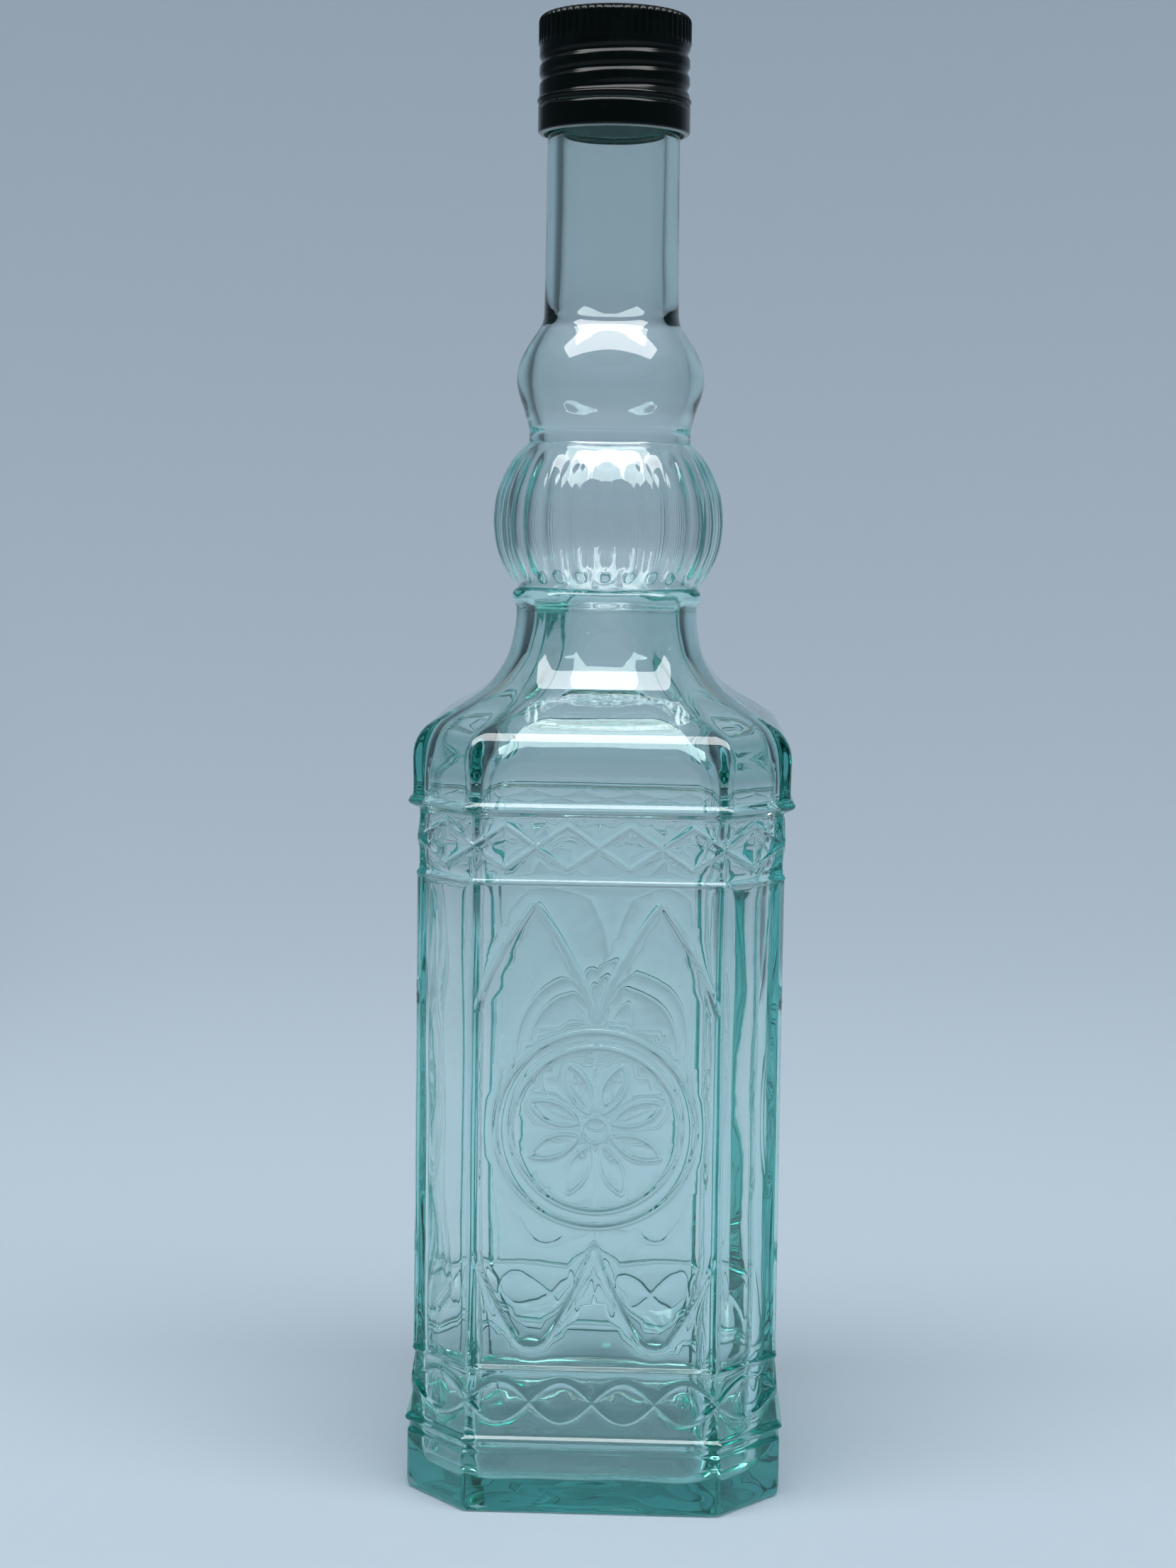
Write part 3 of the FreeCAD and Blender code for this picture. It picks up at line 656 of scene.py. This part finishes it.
body_stations = stations(BODY_EDGE) * BODY_HALF
edge_stations = body_stations[FACE_POINTS:FACE_POINTS + EDGE_POINTS + 1]
belt_levels = np.append(np.arange(BELT_LOW, BELT_HIGH, FIELD_STEP), BELT_HIGH)
for level in (BELT_LOW, BELT_HIGH):
    lay([(along, level) for along in body_stations])
for along in [0.0, *edge_stations, EIGHTH_END]:
    lay([(along, level) for level in belt_levels])
for line, (half_width, _) in ridges:
    way = np.gradient(line, axis=0)
    side = np.column_stack([way[:, 1], -way[:, 0]]) / np.linalg.norm(way, axis=1)[:, None]
    for share in ACROSS:
        for piece in trim(line + side * half_width * share, 0.0, EIGHTH_END):
            lay(piece)
for share in BEVEL_SHARES:
    side = PANEL_SIDE - share * PANEL_BEVEL
    low, high = PANEL_LEVELS[0] + share * PANEL_BEVEL, PANEL_LEVELS[1] - share * PANEL_BEVEL
    corners = [(0.0, low), (side, low), (side, high), (0.0, high)]
    for start, end in zip(corners, corners[1:]):
        lay(straight(start, end))
print(len(belt_points), "points and", len(belt_edges), "edges drawn")

# %% Points between the lines
field_along = np.arange(FIELD_STEP, EIGHTH_END - KEEP_CLEAR, FIELD_STEP)
field = np.array([(along, level) for level in belt_levels[1:-1] for along in field_along])
laid = np.array(belt_points)
clear = [np.min(np.linalg.norm(laid - spot, axis=1)) > KEEP_CLEAR for spot in field]
belt_points.extend(map(tuple, field[clear]))
print(sum(clear), "points in the field, clear of every line")

# %% Mesh one eighth and give it its shape
MESH_NEAR = 0.02
SEAM_SNAP = 0.01
belt_half = [(BELT_LOW, 38.2), (19.8, 37.9), (23.2, 37.6), (27.0, 37.35), (34.0, 37.25),
             (59.0, 37.15), (95.0, 37.05), (BELT_HIGH, 37.0)]

flat, _, belt_faces, *_ = delaunay_2d_cdt([Vector(p) for p in belt_points], belt_edges, [], 0,
                                          MESH_NEAR)
flat = np.array([tuple(p) for p in flat])
for axis, limits in enumerate(((0.0, EIGHTH_END), (BELT_LOW, BELT_HIGH))):
    flat[:, axis] = np.clip(flat[:, axis], *limits)
    for limit in limits:
        flat[abs(flat[:, axis] - limit) < SEAM_SNAP, axis] = limit
belt_faces = [face for face in belt_faces if np.ptp(flat[list(face)], axis=0).min() > 0.0]
place, out = section(flat[:, 0] / BODY_HALF, BODY_EDGE)
belt_eighth = place * by_level(flat[:, 1], belt_half)[:, None] + out * relief(flat)[:, None]
belt_eighth[flat[:, 0] == 0.0, 0] = 0.0
print("one eighth of the belt:", len(flat), "points", len(belt_faces), "faces")

# %% [markdown]
# ## One closed skin
# All the rings run in one order: from the middle of the underside out to the foot, up the outside,
# over the lip and down the inside to the middle of the floor. Stitching each ring to the next then
# always turns the faces outward, and the wall has its true thickness, which glass needs to refract.

# %% Rings of the skin
FLUTED_POINTS = 224
PLAIN_POINTS = 112
RING_START = -0.75 * math.pi

skin_points, skin_faces, skin_outer = [], [], []


def round_ring(radius, level, count=PLAIN_POINTS):
    sweep = RING_START + math.tau * np.arange(count) / count
    return at_level(arc((0.0, 0.0), radius, sweep), level)


def add_points(points, outer):
    first = len(skin_points)
    skin_points.extend(map(tuple, points))
    skin_outer.extend([float(outer)] * len(points))
    return list(range(first, first + len(points)))


def add_rings(outline, make_ring, *settings, outer=True):
    """Adds a ring for each row of an outline."""
    return [add_points(make_ring(size, level, *settings), outer) for size, level in outline]


# %% Stitch rings
def stitch(lower, upper):
    """Joins two rings, of any number of points, by a band of faces."""
    lower, upper = [*lower, lower[0]], [*upper, upper[0]]
    if len(lower) == len(upper):
        skin_faces.extend(zip(lower, lower[1:], upper[1:], upper))
        return
    angles = []
    for ring in (lower, upper):
        spots = np.array([skin_points[n] for n in ring])
        bearings = np.unwrap(np.arctan2(spots[:, 1], spots[:, 0]))
        angles.append([*bearings, math.inf])
    low, high = 0, 0
    while low + 1 < len(lower) or high + 1 < len(upper):
        if angles[0][low + 1] <= angles[1][high + 1]:
            skin_faces.append((lower[low], lower[low + 1], upper[high]))
            low += 1
        else:
            skin_faces.append((lower[low], upper[high + 1], upper[high]))
            high += 1


def stitch_all(rings):
    for lower, upper in zip(rings, rings[1:]):
        stitch(lower, upper)


# %% Underside, foot and belt
PUSH_UP_RADIUS = 29.0
PUSH_UP_RISE = 3.0
PUSH_UP_SHARES = (0.12, 0.35, 0.6, 0.82, 0.95)
RIM_EDGE = 0.13
standing_rim = [(30.5, 0.2), (32.5, 0.0), (36.4, 0.0)]

push_up = [(PUSH_UP_RADIUS * share, PUSH_UP_RISE * (1 - share ** 2)) for share in PUSH_UP_SHARES]
middle = add_points([(0.0, 0.0, PUSH_UP_RISE)], True)[0]
rings = add_rings(push_up, round_ring)
first = rings[0]
skin_faces.extend((first[n], first[n - 1], middle) for n in range(len(first)))
rings += add_rings(standing_rim, facet_ring, RIM_EDGE)
rings += add_rings((*smooth_line(foot, steps=2), *smooth_line(base_bead, steps=2)), facet_ring)
stitch_all(rings)

for turns in range(4):
    for mirror in (1, -1):
        spots = spun(belt_eighth * np.array([mirror, 1.0]), turns)
        numbers = add_points(np.column_stack([spots, flat[:, 1]]), True)
        skin_faces.extend(tuple(numbers[n] for n in face[::mirror]) for face in belt_faces)
print("foot and belt:", len(skin_points), "points")

# %% Shoulder, bulbs, neck and lip
WAIST = 218.0

shoulder_line = (*smooth_line(shoulder, steps=2), *smooth_line(throat_ring, steps=2)[1:])
rings = add_rings(shoulder_line, facet_ring)
for size, level in smooth_line(bulbs, steps=3):
    count = FLUTED_POINTS if level < WAIST else PLAIN_POINTS
    rings.append(add_points(round_ring(size, level, count), True))
rings += add_rings(smooth_line(finish_neck, steps=2), round_ring)
stitch_all(rings)
lip = rings[-1]
print("up to the lip:", len(skin_points), "points")

# %% Hollow
neck_line = (*smooth_line(bore, steps=3), *smooth_line(inner_bulbs, steps=3)[1:])
body_line = (*smooth_line(inner_shoulder, steps=3), *smooth_line(inner_body, steps=6)[1:],
             *smooth_line(inner_floor, steps=3)[1:])
rings = [lip, *add_rings(neck_line, round_ring, outer=False)]
rings += add_rings(body_line, hollow_ring, outer=False)
stitch_all(rings)
last = rings[-1]
middle = add_points([(0.0, 0.0, FLOOR_MIDDLE)], False)[0]
skin_faces.extend((last[n - 1], last[n], middle) for n in range(len(last)))
print("whole skin:", len(skin_points), "points", len(skin_faces), "faces")

# %% Weld the skin
WELD = 1e-6

skin = bpy.data.meshes.new("bottle_skin")
skin.from_pydata((np.array(skin_points) * MM).tolist(), [], skin_faces)
skin.attributes.new("outer", "FLOAT", "POINT").data.foreach_set("value", skin_outer)
welded = bmesh.new()
welded.from_mesh(skin)
bmesh.ops.remove_doubles(welded, verts=welded.verts, dist=WELD)
open_edges = sum(1 for edge in welded.edges if len(edge.link_faces) != 2)
glass_cm3 = welded.calc_volume(signed=True) / MM ** 3 / 1000
welded.to_mesh(skin)
welded.free()
print("open edges", open_edges, "inside out", glass_cm3 < 0, "glass", round(glass_cm3, 1), "cm3")

# %% [markdown]
# ## Building a tree of Geometry Nodes
# A tree is a small machine: it takes a shape and some sizes, and gives a shape back. The first
# helper makes a tree with named sizes, the second one closes it, and the third one runs it on an
# object. Sizes are given to the modifier by the socket's identifier, and the result is copied out
# as a plain mesh, so that nothing live is left on the piece.

# %% Tree helpers
def new_tree(name, sizes):
    tree = bpy.data.node_groups.new(name, "GeometryNodeTree")
    tree.interface.new_socket("Geometry", in_out="OUTPUT", socket_type="NodeSocketGeometry")
    tree.interface.new_socket("Geometry", in_out="INPUT", socket_type="NodeSocketGeometry")
    for label, value in sizes.items():
        kind = "NodeSocketInt" if isinstance(value, int) else "NodeSocketFloat"
        tree.interface.new_socket(label, in_out="INPUT", socket_type=kind)
    return tree, add_node(tree, "NodeGroupInput").outputs


def close_tree(tree, shape, finish):
    whole = add_node(tree, "GeometryNodeRealizeInstances", shape).outputs[0]
    smooth = add_node(tree, "GeometryNodeSetShadeSmooth", whole).outputs[0]
    painted = add_node(tree, "GeometryNodeSetMaterial", smooth, None, finish).outputs[0]
    add_node(tree, "NodeGroupOutput", painted)
    print(tree.name, len(tree.nodes), "nodes")


def run_tree(name, mesh, tree, sizes):
    """Runs a tree on a mesh and returns the finished piece."""
    piece = bpy.data.objects.new(name, mesh)
    scene.collection.objects.link(piece)
    maker = piece.modifiers.new("maker", "NODES")
    maker.node_group = tree
    for item in tree.interface.items_tree:
        if item.in_out == "INPUT" and item.name in sizes:
            maker[item.identifier] = sizes[item.name]
    seen = piece.evaluated_get(bpy.context.evaluated_depsgraph_get())
    result = bpy.data.meshes.new_from_object(seen)
    piece.modifiers.remove(maker)
    piece.data = result
    result.name = name
    triangles = sum(len(face.vertices) - 2 for face in result.polygons)
    print(name, len(result.vertices), "points", triangles, "triangles")
    return piece


# %% [markdown]
# ## The glass
# Soda-lime glass from recycled bottles is nearly clear through a thin wall and turns teal where it
# is thick, at the base, the edges and the bead. A colour on the surface would tint every wall the
# same, so the colour comes from absorption inside the glass, which grows with the distance that
# light travels. The surface is fire-polished, with faint ripples and a few dull spots.

# %% Glass finish
GLASS_TINT = (0.15, 0.775, 0.737, 1.0)
GLASS_DENSITY = 40.0
SMEAR_TO_ROUGH = (0.55, 0.8, 0.0, 0.03)

aqua_glass, tree, shader, where = new_finish("aqua_glass")
smear = cloud(tree, where, scale=60.0, detail=4.0)
fill(tree, shader, {"Base Color": [1.0] * 4, "IOR": 1.52, "Transmission Weight": 1.0,
                    "Roughness": map_over(tree, smear, *SMEAR_TO_ROUGH)})
emboss(tree, shader, cloud(tree, where, scale=140.0), strength=0.04, depth=0.4 * MM)
inside = fill(tree, add_node(tree, "ShaderNodeVolumeAbsorption"),
              {"Color": GLASS_TINT, "Density": GLASS_DENSITY})
fill(tree, tree.nodes["Material Output"], {"Volume": inside.outputs[0]})
left = [round(math.exp(-GLASS_DENSITY * (1 - tint) * 10 * MM), 2) for tint in GLASS_TINT[:3]]
print("light left after 10 mm of glass:", left)

# %% [markdown]
# ## Flutes, thread and a wavy inside
# The lower bulb has a ring of shallow scoops, the neck has a screw thread, and the inside of a
# blown bottle is never quite flat. All three follow a rule, so a tree of Geometry Nodes pushes the
# skin's points: in towards the axis for the scoops, out along a helix for the thread, and to and
# fro by a seeded noise, mostly on the inside. The cap needs a thread too, so that is a helper.

# %% Helpers for turned pieces
def round_the_axis(tree):
    """A point's place, its height, its place across the axis and its share of a turn."""
    place = add_node(tree, "GeometryNodeInputPosition").outputs[0]
    x, y, z = add_node(tree, "ShaderNodeSeparateXYZ", place).outputs
    across = add_node(tree, "ShaderNodeCombineXYZ", x, y, 0.0).outputs[0]
    bearing = sum_up(tree, "DIVIDE", sum_up(tree, "ARCTAN2", y, x), math.tau)
    return place, z, across, sum_up(tree, "FRACT", bearing)


def screw_thread(tree, size, z, turned):
    """How far a thread stands out at a point. It fades in and out at its ends."""
    lead = size["Thread lead"]
    climb = sum_up(tree, "DIVIDE", sum_up(tree, "SUBTRACT", z, size["Thread start"]), lead)
    turns = sum_up(tree, "SUBTRACT", climb, turned)
    nearest = sum_up(tree, "ROUND", turns)
    off = sum_up(tree, "ABSOLUTE", product(tree, sum_up(tree, "SUBTRACT", turns, nearest), lead))
    done = sum_up(tree, "ADD", nearest, turned)
    begun = ease_from(tree, done, size["First turn"], size["First fade"])
    ended = ease_from(tree, done, size["Last turn"], size["Last fade"])
    crest = ease(tree, off, size["Thread half width"], size["Crest half width"])
    return product(tree, begun, ended, crest, size["Thread height"])


def push(tree, shape, way, amount):
    """Moves the points of a shape by an amount along a direction."""
    step = vector_sum(tree, "SCALE", way, None, None, amount)
    return add_node(tree, "GeometryNodeSetPosition", shape, None, None, step).outputs[0]


# %% Sizes for the glass
THREAD_LEAD = 3.6

glass_sizes = {
    "Flute count": 28, "Flute depth": 0.7 * MM, "Flute foot": 188.6 * MM, "Foot arch": 2.2 * MM,
    "Foot fade": 3.0 * MM, "Flute head": WAIST * MM, "Head fade": -9.0 * MM,
    "Thread lead": THREAD_LEAD * MM, "Thread start": 291.5 * MM, "Thread height": 1.05 * MM,
    "Thread half width": 1.3 * MM, "Crest half width": 0.325 * MM,
    "First turn": 0.0, "First fade": 0.08, "Last turn": 1.9, "Last fade": -0.08,
    "Inside wave": 0.28 * MM, "Body wave": 0.75 * MM, "Body top": 150.0 * MM,
    "Body fade": -20.0 * MM, "Outside wave": 0.06 * MM, "Wave scale": 45.0, "Seed": 7.0,
}
print(len(glass_sizes), "sizes for the glass")

# %% Flutes and thread
TURN_TO_FRONT = 0.25

tree, size = new_tree("finish_the_glass", glass_sizes)
place, z, across, turned = round_the_axis(tree)
outer = add_node(tree, "GeometryNodeInputNamedAttribute", "outer").outputs[0]

phase = product(tree, sum_up(tree, "ADD", turned, TURN_TO_FRONT), size["Flute count"])
share = sum_up(tree, "FRACT", sum_up(tree, "ADD", phase, 0.5))
off_middle = sum_up(tree, "ABSOLUTE", sum_up(tree, "MULTIPLY_ADD", share, 2.0, -1.0))
hollow_off = sum_up(tree, "POWER", off_middle, 2.0)
scoop = sum_up(tree, "SUBTRACT", 1.0, hollow_off)
flute_foot = sum_up(tree, "MULTIPLY_ADD", hollow_off, size["Foot arch"], size["Flute foot"])
start = ease_from(tree, z, flute_foot, size["Foot fade"])
stop = ease_from(tree, z, size["Flute head"], size["Head fade"])
flute = product(tree, start, stop, scoop, size["Flute depth"])

thread = screw_thread(tree, size, z, turned)
stands_out = product(tree, sum_up(tree, "SUBTRACT", thread, flute), outer)
fluted = push(tree, size["Geometry"], vector_sum(tree, "NORMALIZE", across), stands_out)
print("flutes and thread:", len(tree.nodes), "nodes")

# %% Waves of the inside
WAVE_DETAIL = 1.0

noise = add_node(tree, "ShaderNodeTexNoise", place, size["Seed"], size["Wave scale"], WAVE_DETAIL,
                 noise_dimensions="4D")
swing = sum_up(tree, "MULTIPLY_ADD", noise.outputs[0], 2.0, -1.0)
in_body = ease_from(tree, z, size["Body top"], size["Body fade"])
inside = sum_up(tree, "MULTIPLY_ADD", in_body, size["Body wave"], size["Inside wave"])
reach = mix_values(tree, outer, inside, size["Outside wave"])
facing = add_node(tree, "GeometryNodeInputNormal").outputs[0]
waved = push(tree, fluted, facing, product(tree, swing, reach))
close_tree(tree, waved, aqua_glass)

# %% Blow the bottle
bottle = run_tree("glass_bottle_body", skin, tree, glass_sizes)
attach(bottle, "bottle")
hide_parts("glass_bottle")

# %% [markdown]
# ## Black lacquer
# The cap was printed black and varnished before it was rolled, so it has a satin gloss with a faint
# dark green cast, fine orange-peel, and a rubbed lighter tone where hands turn it. The inside of
# the sheet has a thin milky varnish over the metal. An attribute called inner, carried by the
# turned section, tells the two sides apart.

# %% Lacquer finish
LACQUER_DARK = (0.0018, 0.0042, 0.0038, 1.0)
LACQUER_WORN = (0.0035, 0.0085, 0.0072, 1.0)
WEAR_LIMITS = (0.45, 0.75)
WEAR_TO_ROUGH = (0.3, 0.8, 0.14, 0.22)
INSIDE_VARNISH = (0.78, 0.85, 0.80, 1.0)
INSIDE_METAL = 0.1
INSIDE_ROUGH = 0.5


def lacquered(name):
    """Black lacquer outside and thinly varnished metal inside."""
    finish, tree, shader, where = new_finish(name)
    wear = cloud(tree, where, scale=220.0, detail=6.0)
    black = mix_colours(tree, ease(tree, wear, *WEAR_LIMITS), LACQUER_DARK, LACQUER_WORN)
    gloss = map_over(tree, wear, *WEAR_TO_ROUGH)
    inner = add_node(tree, "ShaderNodeAttribute", attribute_name="inner").outputs["Fac"]
    fill(tree, shader, {"Base Color": mix_colours(tree, inner, black, INSIDE_VARNISH),
                        "Metallic": product(tree, inner, INSIDE_METAL),
                        "Roughness": mix_values(tree, inner, gloss, INSIDE_ROUGH),
                        "Specular IOR Level": 0.18})
    emboss(tree, shader, cloud(tree, where, scale=1500.0), strength=0.12, depth=0.1 * MM)
    return finish


cap_lacquer = lacquered("cap_lacquer")
band_lacquer = lacquered("band_lacquer")
print("lacquers:", cap_lacquer.name, band_lacquer.name)

# %% [markdown]
# ## The roll-on cap
# The cap is a thin aluminium cup. A machine spins rollers round it on the bottle and presses the
# thread into its wall, and its top edge is knurled for grip. A section of the sheet, out over the
# top, down the wall and back up the inside, is turned round the axis. The tree then pushes both
# faces of the sheet in together along the helix, as the rollers did.

# %% A section ready to be turned
TURN_RADIUS = 5.0
BARE_SHARE = 0.42


def section_mesh(name, outside, inside, bare_below=0.0):
    """A section as a line of edges. Its inner side is marked, but not its cut ends."""
    line = np.vstack([outside, inside])
    mesh = bpy.data.meshes.new(name)
    spots = [((radius - TURN_RADIUS) * MM, -level * MM, 0.0) for radius, level in line]
    mesh.from_pydata(spots, [(n, n + 1) for n in range(len(line) - 1)], [])
    bare = [BARE_SHARE * (level < bare_below) for _, level in outside]
    inner = [0.0] + [1.0] * (len(inside) - 2) + [0.0]
    mesh.attributes.new("inner", "FLOAT", "POINT").data.foreach_set("value", bare + inner)
    print(name, len(line), "points")
    return mesh


def upright(radius, top, foot, count):
    return np.column_stack([np.full(count, radius), np.linspace(top, foot, count)])


# %% Section of the cap
SHEET = 0.25
CAP_FOOT, CAP_TOP = [corner.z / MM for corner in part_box("cap_shell")]
CROWN_RADII = (0.0, 4.0, 9.0, 13.0)
CORNER_RADIUS = 1.5
BEND_POINTS = 8
KNURL_RADIUS = 15.75
KNURL_TOP = 302.4
KNURL_FOOT = 298.7
KNURL_STEP = 0.35
WALL_RADIUS = 15.55
WALL_FOOT = 288.5
BEAD_RADIUS = 15.95
BEAD_TOP = 288.2
BEAD_HEIGHT = 1.7
BEAD_POINTS = 9
HEM_FLARE = 0.1


def cap_side(sheet):
    crown = [(radius, CAP_TOP - sheet) for radius in CROWN_RADII]
    corner = arc((KNURL_RADIUS - CORNER_RADIUS, CAP_TOP - CORNER_RADIUS), CORNER_RADIUS - sheet,
                 np.linspace(math.pi / 2, 0.0, BEND_POINTS))
    knurl = upright(KNURL_RADIUS - sheet, KNURL_TOP, KNURL_FOOT, count=6)
    wall = upright(WALL_RADIUS - sheet, KNURL_FOOT - KNURL_STEP, WALL_FOOT, count=32)
    swell = np.linspace(0.0, math.tau, BEAD_POINTS)[1:-1]
    bulge = (BEAD_RADIUS - WALL_RADIUS) * (1 - np.cos(swell)) / 2
    bead = np.column_stack([WALL_RADIUS - sheet + bulge, BEAD_TOP - BEAD_HEIGHT * swell / math.tau])
    hem = [(WALL_RADIUS + HEM_FLARE - sheet, CAP_FOOT)]
    return np.vstack([crown, corner, knurl, wall, bead, hem])


cap_section = section_mesh("cap_section", cap_side(0.0), cap_side(SHEET)[::-1])

# %% Tree that turns and rolls the cap
def turn_section(tree, size):
    """Turns a section round the axis and closes its seam."""
    line = add_node(tree, "GeometryNodeMeshToCurve", size["Geometry"]).outputs[0]
    path = fill(tree, add_node(tree, "GeometryNodeCurvePrimitiveCircle"),
                {"Resolution": size["Turn steps"], "Radius": size["Turn radius"]})
    sheet = add_node(tree, "GeometryNodeCurveToMesh", path.outputs[0], line).outputs[0]
    merge = add_node(tree, "GeometryNodeMergeByDistance", sheet)
    return fill(tree, merge, {"Distance": WELD}).outputs[0]


cap_sizes = {
    "Turn radius": TURN_RADIUS * MM, "Turn steps": 480,
    "Knurl count": 60, "Knurl depth": 0.34 * MM, "Knurl foot": KNURL_FOOT * MM,
    "Knurl fade": 0.7 * MM, "Knurl inside": 14.5 * MM, "Knurl outside": 15.3 * MM,
    "Thread lead": THREAD_LEAD * MM, "Thread start": 289.7 * MM, "Thread height": 0.5 * MM,
    "Thread half width": 1.2 * MM, "Crest half width": 0.0,
    "First turn": -0.4, "First fade": 0.2, "Last turn": 2.15, "Last fade": -0.15,
}
tree, size = new_tree("roll_the_cap", cap_sizes)
cup = turn_section(tree, size)
_, z, across, turned = round_the_axis(tree)
comb = sum_up(tree, "COSINE", product(tree, turned, math.tau, size["Knurl count"]))
tooth = sum_up(tree, "MULTIPLY_ADD", comb, -0.5, 0.5)
knurl_up = ease_from(tree, z, size["Knurl foot"], size["Knurl fade"])
radius = vector_sum(tree, "LENGTH", across)
knurl_out = ease(tree, radius, size["Knurl inside"], size["Knurl outside"])
knurl = product(tree, knurl_up, knurl_out, tooth, size["Knurl depth"])
thread = screw_thread(tree, size, z, turned)
pressed_in = product(tree, sum_up(tree, "ADD", knurl, thread), -1.0)
rolled = push(tree, cup, vector_sum(tree, "NORMALIZE", across), pressed_in)
close_tree(tree, rolled, cap_lacquer)

# %% Roll the cap
cap = run_tree("cap_shell_rolled", cap_section, tree, cap_sizes)
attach(cap, "cap")
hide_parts("cap_shell")

# %% [markdown]
# ## The tamper band
# Below the scored line a plain ring stays on the neck when the cap is first turned. Its lower edge
# is curled in under the glass collar and shows bare metal, and small bridges along its top are what
# is left of the sheet between the cuts. The ring is a turned section, and the bridges are one small
# block set round a circle.

# %% Section of the band
BAND_FOOT, BAND_TOP = [corner.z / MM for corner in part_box("tamper_band")]
BAND_RADIUS = 15.73
BRIDGE_STEP = 0.1
BAND_WALL_FOOT = 282.2
CURL_RADIUS = 0.9
CURL_END = 14.5
BARE_EDGE = 0.2


def band_side(sheet):
    wall = upright(BAND_RADIUS - sheet, BAND_TOP - BRIDGE_STEP, BAND_WALL_FOOT, count=5)
    curl = arc((BAND_RADIUS - CURL_RADIUS, BAND_FOOT + CURL_RADIUS), CURL_RADIUS - sheet,
               np.linspace(0.0, -math.pi / 2, BEND_POINTS))
    return np.vstack([wall, curl, [(CURL_END, BAND_FOOT + sheet)]])


outside, inside = band_side(0.0), band_side(SHEET)[::-1]
band_section = section_mesh("band_section", outside, np.vstack([inside, outside[:1]]),
                            BAND_FOOT + BARE_EDGE)

# %% Tree that turns the band and sets its bridges
BRIDGE_SINK = 0.12

band_sizes = {
    "Turn radius": TURN_RADIUS * MM, "Turn steps": 240,
    "Bridge count": 8, "Bridge ring": (BAND_RADIUS - SHEET / 2) * MM, "Bridge width": 1.2 * MM,
    "Bridge height": 0.3 * MM, "Bridge level": (BAND_TOP - BRIDGE_SINK) * MM, "Sheet": 0.2 * MM,
}
tree, size = new_tree("turn_the_band", band_sizes)
ring = turn_section(tree, size)
spots = fill(tree, add_node(tree, "GeometryNodeMeshCircle"),
             {"Vertices": size["Bridge count"], "Radius": size["Bridge ring"]})
block_size = add_node(tree, "ShaderNodeCombineXYZ", size["Sheet"], size["Bridge width"],
                      size["Bridge height"]).outputs[0]
block = add_node(tree, "GeometryNodeMeshCube", block_size).outputs[0]
place = add_node(tree, "GeometryNodeInputPosition").outputs[0]
facing = add_node(tree, "FunctionNodeAlignRotationToVector", None, None, place, axis="X")
bridges = add_node(tree, "GeometryNodeInstanceOnPoints", spots.outputs[0], None, block)
fill(tree, bridges, {"Rotation": facing.outputs[0]})
lift = add_node(tree, "ShaderNodeCombineXYZ", 0.0, 0.0, size["Bridge level"]).outputs[0]
raised = fill(tree, add_node(tree, "GeometryNodeTransform", bridges.outputs[0]),
              {"Translation": lift})
both = add_node(tree, "GeometryNodeJoinGeometry", ring)
tree.links.new(raised.outputs[0], both.inputs[0])
close_tree(tree, both.outputs[0], band_lacquer)

# %% Turn the band
band = run_tree("tamper_band_curled", band_section, tree, band_sizes)
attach(band, "band")
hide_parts("tamper_band")

# %% [markdown]
# ## The pourer and the liner
# Inside the cap sit a moulded pourer and a pale foam disc. Their CAD shapes are right as they are,
# so they only get a finish: milky soft plastic that lets some light in, and foam with fine pores.

# %% Pourer plastic
MILK_DULL = (0.74, 0.75, 0.72, 1.0)
MILK_PALE = (0.83, 0.84, 0.81, 1.0)
MILK_TO_ROUGH = (0.3, 0.7, 0.32, 0.45)


def dress(node, finish):
    """Gives a CAD node a finish and leaves its shape alone."""
    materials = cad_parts[node].data.materials
    materials.clear()
    materials.append(finish)
    print(node, "has the finish", finish.name)


pourer_plastic, tree, shader, where = new_finish("milky_plastic")
milk = cloud(tree, where, scale=300.0)
fill(tree, shader, {"Base Color": mix_colours(tree, milk, MILK_DULL, MILK_PALE),
                    "Roughness": map_over(tree, milk, *MILK_TO_ROUGH),
                    "Subsurface Weight": 0.3, "Subsurface Radius": [2 * MM] * 3})
dress("pourer_insert", pourer_plastic)

# %% Liner foam
FOAM_PORE = (0.66, 0.66, 0.62, 1.0)
FOAM_PALE = (0.82, 0.82, 0.78, 1.0)
PORE_SCALE = 2500.0

liner_foam, tree, shader, where = new_finish("pale_foam")
pores = add_node(tree, "ShaderNodeTexVoronoi", where, None, PORE_SCALE).outputs["Distance"]
fill(tree, shader, {"Base Color": mix_colours(tree, pores, FOAM_PORE, FOAM_PALE),
                    "Roughness": 0.8})
emboss(tree, shader, pores, strength=0.3, depth=0.1 * MM)
dress("cap_liner", liner_foam)
